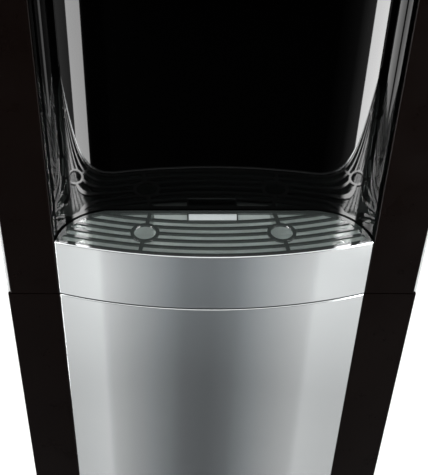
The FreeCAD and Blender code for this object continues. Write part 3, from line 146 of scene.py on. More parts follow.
def moulded(name, dark, light, rough, grain=900.0, strength=0.08, **values):
    """Moulded plastic: a fine even grain, faint flow marks and handling marks in the gloss."""
    g = Graph(name)
    flow = g.noise(9.0, 4.0, 0.55)
    g.colour(g.blend(g.remap(flow, 0.3, 0.7, 0.0, 1.0), dark, light))
    wear = g.noise(46.0, 5.0, 0.65)
    g.roughness(g.remap(wear, 0.3, 0.75, rough * 0.85, rough * 1.2))
    g.bump(g.noise(grain, 2.0), strength, 0.0002)
    return g.set(**values).material


def silver_paint():
    """Metallic lacquer: fine flakes in a nearly mirror-smooth coat."""
    g = Graph("silver_paint")
    flakes = g.noise(2600.0, 2.0, 0.5)
    tone = g.remap(g.noise(14.0, 3.0), 0.3, 0.7, 0.0, 1.0)
    base = g.blend(tone, (0.548, 0.568, 0.573), (0.572, 0.592, 0.596))
    g.colour(g.blend(g.remap(flakes, 0.35, 0.65, 0.0, 0.12), base, (0.74, 0.76, 0.75)))
    g.roughness(g.remap(g.noise(38.0, 4.0, 0.6), 0.3, 0.7, 0.055, 0.075))
    return g.set(Metallic=0.95, Coat_Weight=0.1, Coat_Roughness=0.03).material


def powder_coat(name, colour):
    """Powder paint on steel: a fine orange peel, mottled a little."""
    g = Graph(name)
    mottled = g.remap(g.noise(700.0, 3.0), 0.35, 0.65, 0.0, 1.0)
    g.colour(g.blend(mottled, tuple(c * 0.93 for c in colour), colour))
    g.roughness(g.remap(g.noise(30.0, 5.0), 0.3, 0.7, 0.42, 0.52))
    g.bump(g.noise(1300.0, 3.0), 0.25, 0.0003)
    return g.material


def gloss_black():
    """Piano black: nearly a mirror, with faint polishing haze."""
    g = Graph("gloss_black")
    g.colour(g.blend(g.noise(5.0), (0.00022, 0.00022, 0.00024), (0.00040, 0.00040, 0.00040)))
    haze = g.noise(120.0, 5.0, 0.7)
    g.roughness(g.remap(haze, 0.35, 0.75, 0.03, 0.055))
    return g.set(IOR=1.42).material


def brushed(name, colour, direction=(1.0, 1.0, 60.0), rough=0.28):
    """Bare metal with brush lines, set by how far each axis stretches the grain."""
    g = Graph(name)
    lines = g.noise(260.0, 4.0, 0.6, stretch=direction)
    g.colour(g.blend(lines, tuple(c * 0.86 for c in colour), colour))
    g.roughness(g.remap(lines, 0.3, 0.7, rough * 0.8, rough * 1.25))
    g.bump(lines, 0.06, 0.0002)
    return g.set(Metallic=1.0).material


def galvanised():
    """Zinc spangle: crystal cells with their own tone and gloss."""
    g = Graph("galvanised")
    cells = g.cells(95.0, output="Color")
    grey = g.tree.nodes.new("ShaderNodeRGBToBW")
    g.link(cells, grey.inputs["Color"])
    tone = grey.outputs["Val"]
    g.colour(g.blend(tone, (0.36, 0.375, 0.39), (0.50, 0.52, 0.535)))
    g.roughness(g.remap(tone, 0.2, 0.8, 0.34, 0.52))
    g.bump(g.noise(240.0, 3.0), 0.06, 0.0002)
    return g.set(Metallic=0.85).material


def copper():
    """Copper tube with patches of tarnish."""
    g = Graph("copper")
    tarnish = g.remap(g.noise(38.0, 5.0, 0.6), 0.42, 0.72, 0.0, 1.0)
    g.colour(g.blend(tarnish, (0.78, 0.40, 0.26), (0.34, 0.17, 0.10)))
    g.roughness(g.remap(tarnish, 0.0, 1.0, 0.24, 0.5))
    g.bump(g.noise(300.0, 3.0), 0.05, 0.0002)
    return g.set(Metallic=1.0).material


def foam():
    """Expanded polystyrene beads."""
    g = Graph("foam")
    beads = g.cells(260.0)
    g.colour(g.blend(g.remap(beads, 0.0, 0.6, 0.0, 1.0), (0.86, 0.86, 0.84), (0.70, 0.70, 0.68)))
    g.bump(beads, 0.5, 0.0012)
    g.roughness(g.remap(g.noise(90.0), 0.3, 0.7, 0.8, 0.95))
    return g.material


def rubber():
    """Black rubber with dust on it."""
    g = Graph("rubber")
    dust = g.remap(g.noise(24.0, 6.0, 0.7), 0.45, 0.8, 0.0, 1.0)
    g.colour(g.blend(dust, (0.016, 0.016, 0.016), (0.05, 0.048, 0.045)))
    g.roughness(g.remap(dust, 0.0, 1.0, 0.62, 0.85))
    g.bump(g.noise(800.0, 3.0), 0.2, 0.0003)
    return g.material


def circuit():
    """Solder mask over copper tracks."""
    g = Graph("circuit")
    tracks = g.cells(190.0, feature="DISTANCE_TO_EDGE")
    line = g.math("LESS_THAN", tracks, 0.09)
    g.colour(g.blend(line, (0.012, 0.10, 0.045), (0.05, 0.24, 0.10)))
    g.roughness(g.remap(g.noise(60.0), 0.3, 0.7, 0.25, 0.4))
    g.bump(line, 0.2, 0.0002)
    return g.material


def clear_lens(name, tint, glow):
    """Frosted light pipe with a faint glow from its lamp."""
    g = Graph(name)
    frost = g.noise(500.0, 3.0)
    g.colour(g.blend(frost, tint, tuple(min(1.0, c * 1.1) for c in tint)))
    g.roughness(g.remap(frost, 0.3, 0.7, 0.2, 0.4))
    g.bump(frost, 0.05, 0.0002)
    g.shader.inputs["Emission Color"].default_value = (*tint, 1.0)
    return g.set(Emission_Strength=glow, Transmission_Weight=0.3).material


FINISHES = {
    "black_casing": moulded("satin_black", (0.0018, 0.0009, 0.0007), (0.0025, 0.0014, 0.0011), 0.30,
                            1500.0, 0.05, Specular_IOR_Level=0.05),
    "black_alcove": gloss_black(),
    "silver_front": silver_paint(),
    "side_steel": powder_coat("side_powder", (0.56, 0.57, 0.57)),
    "grille_grey": moulded("grille_grey", (0.026, 0.031, 0.030), (0.034, 0.040, 0.038), 0.10,
                           700.0, 0.02, IOR=2.1),
    "basin_grey": moulded("basin_grey", (0.285, 0.325, 0.315), (0.325, 0.36, 0.345), 0.16,
                          700.0, 0.03, IOR=1.9),
    "pale_insert": moulded("pale_insert", (0.30, 0.33, 0.33), (0.345, 0.37, 0.37), 0.25, 900.0, 0.04),
    "grey_plastic": moulded("grey_plastic", (0.14, 0.145, 0.15), (0.18, 0.185, 0.19), 0.38),
    "white_plastic": moulded("white_plastic", (0.70, 0.70, 0.68), (0.76, 0.76, 0.745), 0.35, 800.0, 0.1),
    "button_silver": moulded("button_silver", (0.50, 0.52, 0.52), (0.56, 0.58, 0.58), 0.22, 900.0, 0.03,
                             Metallic=0.8),
    "lens": clear_lens("lens", (0.60, 0.86, 0.80), 0.35),
    "galvanised": galvanised(),
    "stainless": brushed("stainless", (0.62, 0.62, 0.61)),
    "copper": copper(),
    "black_enamel": moulded("black_enamel", (0.010, 0.010, 0.010), (0.016, 0.016, 0.016), 0.28,
                            240.0, 0.12),
    "foam": foam(),
    "rubber": rubber(),
    "circuit_green": circuit(),
    "black_plastic": moulded("black_plastic", (0.012, 0.012, 0.012), (0.018, 0.018, 0.018), 0.42,
                             900.0, 0.15),
    "tubing": moulded("tubing", (0.55, 0.60, 0.64), (0.66, 0.70, 0.73), 0.22, 500.0, 0.03,
                      Transmission_Weight=0.35),
    "nylon": moulded("nylon", (0.66, 0.65, 0.60), (0.74, 0.73, 0.69), 0.4),
    "brass": brushed("brass", (0.76, 0.56, 0.26), (1.0, 1.0, 18.0), 0.24),
}

for row in frame["record"]["subparts"]:
    node = NODES[row["node"]]
    node.data.materials.clear()
    node.data.materials.append(FINISHES[row["material_slot"]])


# ---------------------------------------------------------------- mesh helpers

SHARP_ANGLE = 35.0
WELD_REACH = 0.00001


def new_piece(name, bm, finish, body, stands_for=(), sharp=SHARP_ANGLE):
    """A finished mesh object that takes its finish from a slot and rides on a body."""
    bmesh.ops.recalc_face_normals(bm, faces=bm.faces)
    mesh = bpy.data.meshes.new(name)
    bm.to_mesh(mesh)
    bm.free()
    mesh.shade_smooth()
    mesh.set_sharp_from_angle(angle=math.radians(sharp))
    mesh.materials.append(FINISHES[finish])
    piece = bpy.data.objects.new(name, mesh)
    bpy.context.scene.collection.objects.link(piece)
    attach(piece, body)
    if stands_for:
        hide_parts(*stands_for)
    return piece


def weigh(piece):
    """Let the large faces set the shading, so that a narrow round beside them doesn't tilt it."""
    modifier = piece.modifiers.new("weighted", "WEIGHTED_NORMAL")
    modifier.mode = "FACE_AREA"
    modifier.weight = 100
    modifier.keep_sharp = True


def bevel(piece, width, segments=2):
    """Round a piece's sharp edges by a modifier."""
    modifier = piece.modifiers.new("rounded", "BEVEL")
    modifier.width = width
    modifier.segments = segments
    modifier.limit_method = "ANGLE"
    modifier.angle_limit = math.radians(SHARP_ANGLE)
    weigh(piece)


def soften(node, width):
    """Weld a CAD node's facets together and round its sharp edges, all by modifiers."""
    piece = NODES[node]
    weld = piece.modifiers.new("welded", "WELD")
    weld.merge_threshold = WELD_REACH
    bevel(piece, width, 3)


def rounded(corners, steps=6):
    """A closed outline through (y, z, radius) corners, each rounded by an arc."""
    outline = []
    for index, (y, z, radius) in enumerate(corners):
        here = Vector((y, z))
        if radius == 0:
            outline.append(here)
            continue
        back = (Vector(corners[index - 1][:2]) - here).normalized()
        ahead = (Vector(corners[(index + 1) % len(corners)][:2]) - here).normalized()
        half = back.angle(ahead) / 2
        centre = here + (back + ahead).normalized() * (radius / math.sin(half))
        reach = radius / math.tan(half)
        start = here + back * reach - centre
        turn = start.angle_signed(here + ahead * reach - centre)
        for step in range(steps + 1):
            outline.append(centre + Matrix.Rotation(-turn * step / steps, 2) @ start)
    return outline


def swept(section, half, slices=120):
    """A closed solid whose outline at each x is section(x)."""
    bm = bmesh.new()
    loops = []
    for index in range(slices + 1):
        x = half * (2 * index / slices - 1)
        loops.append([bm.verts.new((x, point.x, point.y)) for point in section(x)])
    for first, second in zip(loops, loops[1:]):
        for index in range(len(first)):
            after = (index + 1) % len(first)
            bm.faces.new((first[index], first[after], second[after], second[index]))
    bm.faces.new(loops[0])
    bm.faces.new(reversed(loops[-1]))
    return bm


# ---------------------------------------------------------------- bowed silver fronts

BOW_RADIUS = 0.410
BOW_SKIN = 0.003
BOW_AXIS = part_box("tray_front")[0].y + BOW_RADIUS
FRONT_EDGE = 0.0005
FASCIA_EDGE = 0.0004


def bow(x, inset=0.0):
    """y of the bowed fronts' surface at x, inset by a wall."""
    return BOW_AXIS - math.sqrt((BOW_RADIUS - inset) ** 2 - x * x)


def make_tray_front():
    """A bowed strip of even thickness, with its upper front edge rounded most."""
    low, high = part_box("tray_front")
    foot, crest, lip = 0.0004, 0.0010, 0.0005

    def section(x):
        front, back = bow(x), bow(x, BOW_SKIN)
        return rounded([(front, low.z, foot), (front, high.z, crest), (back, high.z, lip),
                        (back, low.z, foot)])

    shell = new_piece("tray_front_shell", swept(section, high.x), "silver_front", "tray", ["tray_front"])
    bevel(shell, FRONT_EDGE)


def make_door_front():
    """A bowed face on a flat back."""
    low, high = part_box("door_front_panel")
    edge = 0.0009

    def section(x):
        return rounded([(bow(x), low.z, edge), (bow(x), high.z, edge), (high.y, high.z, 0),
                        (high.y, low.z, 0)])

    shell = new_piece("door_front_shell", swept(section, high.x), "silver_front", "door",
                      ["door_front_panel"])
    bevel(shell, FRONT_EDGE)


def pierced(bm, name, tools):
    """Cut tools out of a solid; all of them are mesh code and none is left in the scene."""
    base = loose_object(name, bm)
    cutters = [loose_object(f"{name}_tool", tool) for tool in tools]
    for cutter in cutters:
        modifier = base.modifiers.new("hole", "BOOLEAN")
        modifier.object = cutter
        modifier.solver = "EXACT"
    bpy.context.view_layer.update()
    result = bpy.data.meshes.new_from_object(base.evaluated_get(bpy.context.evaluated_depsgraph_get()))
    for piece in [base, *cutters]:
        bpy.data.objects.remove(piece)
    bm = bmesh.new()
    bm.from_mesh(result)
    bpy.data.meshes.remove(result)
    return bm


def loose_object(name, bm):
    mesh = bpy.data.meshes.new(name)
    bmesh.ops.recalc_face_normals(bm, faces=bm.faces)
    bm.to_mesh(mesh)
    bm.free()
    piece = bpy.data.objects.new(name, mesh)
    bpy.context.scene.collection.objects.link(piece)
    return piece


def turned(profile, centre, steps=64):
    """A solid turned about an axis along Y, from (radius, y) points that start and end on the axis."""
    bm = bmesh.new()
    rings = []
    for radius, y in profile:
        if radius == 0:
            rings.append([bm.verts.new((centre.x, y, centre.z))])
            continue
        ring = []
        for step in range(steps):
            turn = 2 * math.pi * step / steps
            place = (centre.x + radius * math.cos(turn), y, centre.z + radius * math.sin(turn))
            ring.append(bm.verts.new(place))
        rings.append(ring)
    for first, second in zip(rings, rings[1:]):
        for index in range(steps):
            corners = []
            for ring, place in ((first, index), (first, index + 1), (second, index + 1), (second, index)):
                vertex = ring[place % len(ring)] if len(ring) > 1 else ring[0]
                if vertex not in corners:
                    corners.append(vertex)
            bm.faces.new(corners)
    return bm


# ---------------------------------------------------------------- button panel

BUTTONS = {"button_left": "left_button", "button_centre": "centre_button", "button_right": "right_button"}
LENS_RADIUS = 0.0025
LENS_PLAY = 0.0001
BUTTON_PLAY = 0.0004
BUTTON_PROUD = 0.0015
FLANGE = 0.002
STEM_RADIUS = 0.003


def button_place(node):
    """The middle of a button's face, and its radius without the hidden flange."""
    low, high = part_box(node)
    radius = (high.z - low.z) / 2 - FLANGE
    return Vector(((low.x + high.x) / 2, low.y, (low.z + high.z) / 2)), radius


def make_fascia():
    """The bowed panel: a thin front with a foot, and holes for the buttons and the lamps."""
    low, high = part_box("fascia_panel")
    foot, lower_edge, upper_edge, least_foot = 0.0025, 0.0012, 0.0005, 0.0002
    bore_start, bore_end = -0.21, -0.14

    def section(x):
        front, back = bow(x), min(bow(x, BOW_SKIN), high.y)
        behind = max(high.y, back + least_foot)
        return rounded([(front, low.z, lower_edge), (front, high.z, upper_edge), (back, high.z, 0),
                        (back, low.z + foot, 0), (behind, low.z + foot, 0), (behind, low.z, 0)])

    tools = []
    lens_low, lens_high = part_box("indicator_lenses")
    lens_z = (lens_low.z + lens_high.z) / 2
    for node in BUTTONS:
        centre, radius = button_place(node)
        for z, bore in ((centre.z, radius + BUTTON_PLAY), (lens_z, LENS_RADIUS + LENS_PLAY)):
            profile = [(0, bore_start), (bore, bore_start), (bore, bore_end), (0, bore_end)]
            tools.append(turned(profile, Vector((centre.x, 0, z))))
    panel = pierced(swept(section, high.x), "fascia", tools)
    bevel(new_piece("fascia_shell", panel, "silver_front", "cabinet", ["fascia_panel"]), FASCIA_EDGE, 3)


def make_button(node, body):
    """A cap with a rolled edge and a shallow dish, which leans with the bow of the panel, on its stem."""
    low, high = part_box(node)
    centre, radius = button_place(node)
    roll, dish, depth, flange_thick = 0.0012, 0.0009, 0.0125, 0.0015
    dish_share, dish_steps = 0.9, 8
    lean_depth = depth - 0.001
    start = bow(centre.x, -BUTTON_PROUD)
    tail = high.y - start
    flange = radius + FLANGE
    flange_back = depth + flange_thick
    face = [(radius * dish_share * step / dish_steps, dish * (1 - (step / dish_steps) ** 2))
            for step in range(dish_steps + 1)]
    edge = [(radius - roll + roll * math.cos(turn), roll - roll * math.sin(turn))
            for turn in (math.radians(90 - 15 * step) for step in range(7))]
    profile = [*face, *edge, (radius, depth), (flange, depth), (flange, flange_back),
               (STEM_RADIUS, flange_back), (STEM_RADIUS, tail), (0, tail)]
    bm = turned(profile, Vector((centre.x, 0, centre.z)), 72)
    for vertex in bm.verts:
        fade = max(0.0, 1.0 - vertex.co.y / lean_depth)
        lean = bow(vertex.co.x, -BUTTON_PROUD) - start
        vertex.co.y = start + vertex.co.y + lean * fade
    foremost = min(vertex.co.y for vertex in bm.verts)
    for vertex in bm.verts:
        vertex.co.y = min(vertex.co.y + max(0.0, low.y - foremost), high.y)
    new_piece(f"{node}_cap", bm, "button_silver", body, [node], 50.0)
    return start + dish, centre


SIGN_THICK = 0.0003


def droplet(centre, y, height, steps=40):
    """A thin plate in the shape of a drop, pointed at the top."""
    half_width, half_height, taper = height * 0.42, height * 0.5, 1.4
    outline = []
    for step in range(steps):
        turn = 2 * math.pi * step / steps
        wide = math.sin(turn) * math.sin(turn / 2) ** taper
        outline.append((centre.x + half_width * wide, centre.z + half_height * math.cos(turn)))
    return plate(outline, y, SIGN_THICK)


def disc(centre, y, radius, steps=28):
    """A thin round plate."""
    outline = []
    for step in range(steps):
        turn = 2 * math.pi * step / steps
        outline.append((centre.x + radius * math.cos(turn), centre.z + radius * math.sin(turn)))
    return plate(outline, y, SIGN_THICK)


def plate(outline, y, thick):
    """A thin plate with an outline in X and Z, from y backwards."""
    bm = bmesh.new()
    front = [bm.verts.new((x, y, z)) for x, z in outline]
    back = [bm.verts.new((x, y + thick, z)) for x, z in outline]
    bm.faces.new(front)
    bm.faces.new(list(reversed(back)))
    for index in range(len(outline)):
        after = (index + 1) % len(outline)
        bm.faces.new((front[after], front[index], back[index], back[after]))
    return bm


def joined(meshes):
    """Several closed shapes as one mesh."""
    whole = bmesh.new()
    for bm in meshes:
        part = bpy.data.meshes.new("part")
        bm.to_mesh(part)
        bm.free()
        whole.from_mesh(part)
        bpy.data.meshes.remove(part)
    return whole


def make_pictogram(node, body, face_y, centre, bubbles):
    """A drop, with no, one or three bubbles for still, lightly sparkling and sparkling water."""
    height, shift, proud = 0.0095, 0.0016, 0.00015
    bubble_x, lowest, rise = 0.0040, -0.0024, 0.0027
    largest, shrink = 0.00105, 0.0001
    y = face_y - proud
    middle = centre - Vector((shift, 0, 0)) if bubbles else centre
    shapes = [droplet(middle, y, height)]
    for index in range(bubbles):
        place = centre + Vector((bubble_x, 0, lowest + rise * index))
        shapes.append(disc(place, y, largest - shrink * index))
    new_piece(f"{node}_sign", joined(shapes), "black_plastic", body)


make_tray_front()
make_door_front()
make_fascia()
for (button, rider), bubble_count in zip(BUTTONS.items(), (0, 1, 3)):
    face, middle = make_button(button, rider)
    make_pictogram(button, rider, face, middle, bubble_count)


# ---------------------------------------------------------------- rear controls and screws

def make_rear_screws():
    """Pan heads with a cross recess, one for each screw of the rear panel."""
    low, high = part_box("rear_panel_screws")
    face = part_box("rear_panel")[1].y
    head, shank, crown = 0.004, 0.002, 0.0009
    rows = 5
    arm, width, deep = 0.0022, 0.00045, 0.0011
    dome = [(head * math.cos(turn), high.y - crown + crown * math.sin(turn))
            for turn in (math.radians(15 * step) for step in range(6))]
    profile = [(0, low.y), (shank, low.y), (shank, face), (head, face), *dome, (0, high.y)]
    screws = []
    for x in (low.x + head, high.x - head):
        for row in range(rows):
            z = low.z + head + (high.z - low.z - 2 * head) * row / (rows - 1)
            slots = [block((x - a, high.y - deep, z - b), (x + a, high.y + deep, z + b))
                     for a, b in ((arm, width), (width, arm))]
            screws.append(pierced(turned(profile, Vector((x, 0, z)), 32), "screw", slots))
    new_piece("rear_screws", joined(screws), "stainless", "cabinet", ["rear_panel_screws"])


def block(low, high):
    """A plain box, for cutting with."""
    bm = bmesh.new()
    bmesh.ops.create_cube(bm, size=1.0)
    for vertex in bm.verts:
        for axis in range(3):
            vertex.co[axis] = low[axis] if vertex.co[axis] < 0 else high[axis]
    return bm


def make_dial_marks():
    """Marks round the thermostat that grow towards cold, and a pointer on its grip."""
    low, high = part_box("thermostat_knob")
    centre = (low + high) / 2
    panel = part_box("rear_panel")[1].y
    mark_thick, mark_half, mark_ring = 0.00012, 0.00035, 0.0156
    shortest, growth = 0.0012, 0.0004
    marks = []
    for step in range(7):
        turn = math.radians(225 - 45 * step)
        along = Vector((math.cos(turn), 0, math.sin(turn)))
        across = Vector((-along.z, 0, along.x)) * mark_half
        start = centre + along * mark_ring
        end = start + along * (shortest + growth * step)
        corners = [start - across, end - across, end + across, start + across]
        marks.append(plate([(corner.x, corner.z) for corner in corners], panel, mark_thick))
    new_piece("dial_marks", joined(marks), "black_plastic", "cabinet")
    half, reach, below_rim = 0.0005, 0.0055, 0.0036
    thick, sunk = 0.00015, 0.00005
    tip = high.z - below_rim
    outline = [(centre.x - half, tip - reach), (centre.x + half, tip - reach), (centre.x + half, tip),
               (centre.x - half, tip)]
    new_piece("dial_pointer", plate(outline, high.y - sunk, thick), "white_plastic", "thermostat_dial")


def make_rocker_marks(node, body):
    """A bar at the on end and a ring at the off end of a leaning rocker."""
    low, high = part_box(node)
    centre = (low + high) / 2
    face, spread, tilt = 0.00295, 0.0055, math.radians(-10.0)
    thick, stroke, radius = 0.00015, 0.0003, 0.0015
    lean = Matrix.Translation(centre) @ Matrix.Rotation(tilt, 4, "X")
    bar = plate([(-stroke, spread - radius), (stroke, spread - radius), (stroke, spread + radius),
                 (-stroke, spread + radius)], face, thick)
    steps = 24
    turns = [2 * math.pi * step / steps for step in range(steps)]
    bore = radius - 2 * stroke
    ring = bmesh.new()
    loops = []
    for r, y in ((radius, face), (radius, face + thick), (bore, face + thick), (bore, face)):
        loops.append([ring.verts.new((r * math.cos(turn), y, r * math.sin(turn) - spread)) for turn in turns])
    for first, second in zip(loops, loops[1:] + loops[:1]):
        for index in range(steps):
            after = (index + 1) % steps
            ring.faces.new((first[index], first[after], second[after], second[index]))
    marks = joined([bar, ring])
    marks.transform(lean)
    new_piece(f"{node}_marks", marks, "white_plastic", body)


make_rear_screws()
make_dial_marks()
make_rocker_marks("switch_main", "main_rocker")
make_rocker_marks("switch_cooling", "cooling_rocker")


# ---------------------------------------------------------------- edges of the moulded and folded pieces

# The width of the rounding on each node's sharp edges.
SOFT_EDGES = {
    "tray_grille": 0.0006, "grille_tab": 0.0003, "drip_basin": 0.0005, "door_frame": 0.0006,
    "top_cover": 0.0006, "upper_casing": 0.0004, "side_panel_left": 0.0005, "side_panel_right": 0.0005,
    "plinth": 0.0006, "rubber_feet": 0.0010, "nozzles": 0.0004, "rear_panel": 0.0003,
    "door_inner_panel": 0.0008, "cabinet_liner": 0.0008, "magnetic_catch": 0.0006, "door_strike": 0.0003,
    "power_inlet": 0.0004, "switch_housings": 0.0003, "switch_main": 0.0006, "switch_cooling": 0.0006,
    "thermostat_knob": 0.0006, "water_inlet": 0.0005, "condenser_brackets": 0.0006, "base_tray": 0.0004,
    "gas_regulator": 0.0005, "regulator_knob": 0.0006, "solenoid_valves": 0.0006, "compressor": 0.0008,
    "pump_motor": 0.0010, "pump_head": 0.0008, "power_board": 0.0002, "control_board": 0.0002,
    "equipment_shelf": 0.0003, "tank_supports": 0.0010, "hinge_brackets": 0.0003,
}
for edge_node, edge_width in SOFT_EDGES.items():
    soften(edge_node, edge_width)


# ---------------------------------------------------------------- floor, light and camera

def make_floor():
    """A pale floor that glows a little, and that gloss doesn't mirror."""
    half = 6.0
    corners = [(-half, -half, 0), (half, -half, 0), (half, half, 0), (-half, half, 0)]
    mesh = bpy.data.meshes.new("floor")
    mesh.from_pydata(corners, [], [(0, 1, 2, 3)])
    floor = bpy.data.objects.new("floor", mesh)
    bpy.context.scene.collection.objects.link(floor)
    g = Graph("pale_floor")
    g.colour(g.blend(g.noise(1.4), (0.86, 0.86, 0.86), (0.90, 0.90, 0.90)))
    g.set(Roughness=0.85, Specular_IOR_Level=0.1, Emission_Strength=0.2)
    g.shader.inputs["Emission Color"].default_value = (1.0, 1.0, 1.0, 1.0)
    mesh.materials.append(g.material)
    floor.visible_glossy = False


class Sky:
    """The studio as gloss sees it: levels placed by azimuth and elevation in degrees.

    Azimuth is 0 ahead of the front and grows to the right; elevation is 0 at the horizon.
    """

    def __init__(self, tree):
        self.tree = tree
        axes = self.new("ShaderNodeSeparateXYZ")
        self.link(self.new("ShaderNodeTexCoord").outputs["Generated"], axes.inputs[0])
        across = self.math("MULTIPLY", axes.outputs["Y"], -1.0)
        self.azimuth = self.math("DEGREES", self.math("ARCTAN2", axes.outputs["X"], across))
        self.elevation = self.math("DEGREES", self.math("ARCSINE", axes.outputs["Z"]))

    def new(self, kind):
        return self.tree.nodes.new(kind)

    def link(self, source, target):
        self.tree.links.new(source, target)

    def math(self, operation, *values):
        node = self.new("ShaderNodeMath")
        node.operation = operation
        for socket, value in zip(node.inputs, values):
            if isinstance(value, (int, float)):
                socket.default_value = value
            else:
                self.link(value, socket)
        return node.outputs[0]

    def step(self, value, span, kind="SMOOTHSTEP"):
        """0 before the span, 1 after it, smooth or straight between."""
        node = self.new("ShaderNodeMapRange")
        node.interpolation_type = kind
        self.link(value, node.inputs["Value"])
        node.inputs["From Min"].default_value = span[0]
        node.inputs["From Max"].default_value = span[1]
        return node.outputs["Result"]

    def band(self, value, low, high, soft):
        """1 from low to high, 0 outside, with soft ends."""
        rise = self.step(value, (low - soft, low + soft))
        fall = self.step(value, (high - soft, high + soft))
        return self.math("SUBTRACT", rise, fall)

    def soft_box(self, azimuth, elevation, soft, level=1.0):
        """A level inside a span of azimuth and a span of elevation, 0 outside."""
        across = self.band(self.azimuth, *azimuth, soft)
        up = self.band(self.elevation, *elevation, soft)
        return self.math("MULTIPLY", self.math("MULTIPLY", across, up), level)

    def sweep(self, stops):
        """A level for each azimuth, straight between the stops."""
        ramp = self.new("ShaderNodeValToRGB")
        turn = self.math("ADD", self.math("DIVIDE", self.azimuth, 360.0), 0.5)
        self.link(turn, ramp.inputs["Fac"])
        points = ramp.color_ramp.elements
        while len(points) < len(stops):
            points.new(0.5)
        for point, (degrees, level) in zip(points, stops):
            point.position = degrees / 360 + 0.5
            point.color = (level, level, level, 1.0)
        return ramp.outputs["Color"]

    def between(self, factor, first, second):
        """A level between two levels."""
        keep = self.math("MULTIPLY", first, self.math("SUBTRACT", 1.0, factor))
        return self.math("ADD", keep, self.math("MULTIPLY", second, factor))

    def tinted(self, factor, tint):
        """White, or a tint where the factor is 1."""
        node = self.new("ShaderNodeMix")
        node.data_type = "RGBA"
        self.link(factor, node.inputs["Factor"])
        node.inputs[6].default_value = (1.0, 1.0, 1.0, 1.0)
        node.inputs[7].default_value = (*tint, 1.0)
        return node.outputs[2]

    def background(self, strength, colour=None):
        node = self.new("ShaderNodeBackground")
        node.inputs["Color"].default_value = (1.0, 1.0, 1.0, 1.0)
        if colour is not None:
            self.link(colour, node.inputs["Color"])
        if isinstance(strength, (int, float)):
            node.inputs["Strength"].default_value = strength
        else:
            self.link(strength, node.inputs["Strength"])
        return node.outputs[0]


# Levels by azimuth. The front sweep is what the silver fronts mirror from above, the dark sweep what
# the back of the bay mirrors.
FRONT_SWEEP = [(-180, 0.55), (-110, 0.6), (-75, 0.66), (-46, 0.76), (-38, 0.84), (-30.3, 0.93),
               (-29.4, 0.70), (-22, 0.50), (-13, 0.31), (-5, 0.165), (3, 0.142), (10, 0.195), (20, 0.41),
               (33.5, 0.68), (34.5, 0.86), (44, 0.80), (60, 0.74), (80, 0.66), (110, 0.6), (180, 0.55)]
DARK_SWEEP = [(-180, 0.55), (-110, 0.6), (-60, 0.4), (-35, 0.06), (-15, 0.02), (0, 0.0), (14, 0.0),
              (30, 0.0), (62, 0.3), (110, 0.6), (180, 0.55)]
SWEEP_LEVEL = 1.35

# Spans of elevation in which one level gives way to the next, from the floor upwards.
FLOOR_FADE = (-48.0, -41.5)
TO_DARK = (-39.0, -36.5)
TO_NEARER = (-17.0, -11.0)
NEARER_RISE = (-15.0, 0.0)
TO_HORIZON = (0.0, 6.0)
TO_OVERHEAD = (52.0, 57.0)

FLOOR_SHARE, FLOOR_LOSS = 0.72, 0.05
NEARER_SHARE, NEARER_BASE, NEARER_GAIN = 0.35, 0.28, 0.5
HORIZON_LEVEL = 0.95
OVERHEAD_LEVEL = 3.0

# Azimuths, elevations and softness of the dim patch ahead, and its level.
DIM_PATCH = ((-26.0, 26.0), (8.0, 44.0), 6.0)
DIM_LEVEL = 0.25

# Azimuths, elevations, softness and level of each soft box.
SOFT_BOXES = [((36.5, 62.0), (-37.5, 5.0), 0.6, 9.3),
              ((-86.0, -59.0), (-48.0, 5.0), 0.6, 17.3),
              ((52.0, 82.0), (30.0, 52.0), 6.0, 62.0),
              ((-86.0, -50.0), (30.0, 52.0), 6.0, 66.0)]

# The floor ahead is mirrored a little cooler. Azimuths and softness.
COOL_BAND = (-14.0, 18.0, 14.0)
COOL_TINT = (0.93, 1.0, 1.06)

AMBIENT_LEVEL = 0.55
BACKDROP_LEVEL = 1.0


def gloss_level(sky):
    """What gloss mirrors: a bright floor, dark ahead above it, and soft boxes at the sides."""
    front = sky.math("MULTIPLY", sky.sweep(FRONT_SWEEP), SWEEP_LEVEL)
    dark = sky.math("MULTIPLY", sky.sweep(DARK_SWEEP), SWEEP_LEVEL)
    lower = sky.math("SUBTRACT", sky.math("MULTIPLY", front, FLOOR_SHARE), FLOOR_LOSS)
    near_floor = sky.step(sky.elevation, FLOOR_FADE, "LINEAR")
    fading = sky.between(near_floor, sky.math("MAXIMUM", lower, 0.0), front)
    below = sky.between(sky.step(sky.elevation, TO_DARK), fading, dark)
    rising = sky.math("MULTIPLY", sky.step(sky.elevation, NEARER_RISE, "LINEAR"), NEARER_GAIN)
    share = sky.math("MULTIPLY", front, NEARER_SHARE)
    nearer_level = sky.math("ADD", share, sky.math("ADD", rising, NEARER_BASE))
    nearer = sky.between(sky.step(sky.elevation, TO_NEARER), below, nearer_level)
    horizon = sky.between(sky.step(sky.elevation, TO_HORIZON), nearer, HORIZON_LEVEL)
    ahead = sky.between(sky.soft_box(*DIM_PATCH), horizon, DIM_LEVEL)
    level = sky.between(sky.step(sky.elevation, TO_OVERHEAD), ahead, OVERHEAD_LEVEL)
    for box in SOFT_BOXES:
        level = sky.math("ADD", level, sky.soft_box(*box))
    return level


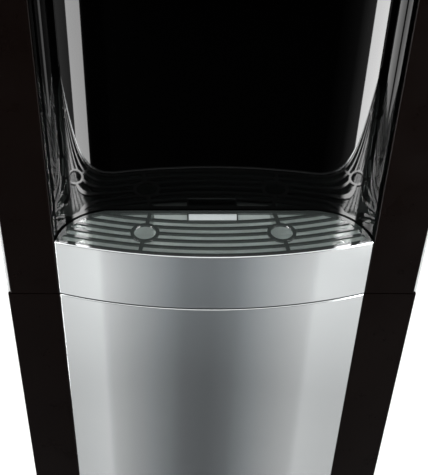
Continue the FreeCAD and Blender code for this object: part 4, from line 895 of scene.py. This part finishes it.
def make_world():
    """A white backdrop and an even ambient light; only glossy rays meet the sky's levels."""
    world = bpy.data.worlds.new("studio")
    bpy.context.scene.world = world
    world.use_nodes = True
    world.node_tree.nodes.clear()
    sky = Sky(world.node_tree)
    floor_side = sky.math("SUBTRACT", 1.0, sky.step(sky.elevation, TO_DARK))
    middle = sky.band(sky.azimuth, *COOL_BAND)
    cool = sky.tinted(sky.math("MULTIPLY", middle, floor_side), COOL_TINT)

    rays = sky.new("ShaderNodeLightPath")
    bounce = sky.new("ShaderNodeMixShader")
    sky.link(rays.outputs["Is Glossy Ray"], bounce.inputs["Fac"])
    sky.link(sky.background(AMBIENT_LEVEL), bounce.inputs[1])
    sky.link(sky.background(gloss_level(sky), cool), bounce.inputs[2])
    seen = sky.new("ShaderNodeMixShader")
    sky.link(rays.outputs["Is Camera Ray"], seen.inputs["Fac"])
    sky.link(bounce.outputs[0], seen.inputs[1])
    sky.link(sky.background(BACKDROP_LEVEL), seen.inputs[2])
    sky.link(seen.outputs[0], sky.new("ShaderNodeOutputWorld").inputs["Surface"])


def make_light(name, place, target, width, height, power):
    """A soft rectangular lamp that gloss doesn't mirror."""
    data = bpy.data.lights.new(name, "AREA")
    data.shape = "RECTANGLE"
    data.size = width
    data.size_y = height
    data.energy = power
    light = bpy.data.objects.new(name, data)
    light.location = place
    light.rotation_euler = (Vector(target) - Vector(place)).to_track_quat("-Z", "Y").to_euler()
    light.visible_glossy = False
    bpy.context.scene.collection.objects.link(light)


def make_camera():
    """The viewing angle: above the tray and a little left of the middle, looking down at it."""
    tilt = math.radians(39.0)
    aside, ahead, above = -0.0318, 0.5241, 0.4806
    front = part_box("upper_casing")[0].y
    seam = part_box("tray_front")[0].z
    data = bpy.data.cameras.new("camera")
    data.sensor_width = 36.0
    data.lens = 67.85
    data.shift_x = 0.0884
    camera = bpy.data.objects.new("camera", data)
    camera.location = (aside, front - ahead, seam + above)
    camera.rotation_euler = (math.pi / 2 - tilt, 0.0, 0.0)
    bpy.context.scene.collection.objects.link(camera)
    bpy.context.scene.camera = camera


make_floor()
make_world()
make_light("key", (-1.2, -1.6, 2.6), (0, 0, 0.7), 1.6, 1.2, 40.0)
make_light("fill", (1.6, -1.4, 2.0), (0, 0, 0.7), 1.6, 1.2, 24.0)
make_light("rear", (0.6, 2.2, 2.4), (0, 0, 0.6), 2.0, 1.4, 30.0)
make_light("bay", (-0.1, -1.5, 1.5), (0, -0.12, 0.68), 0.7, 0.5, 9.0)
make_camera()
bpy.context.scene.view_settings.view_transform = "Standard"
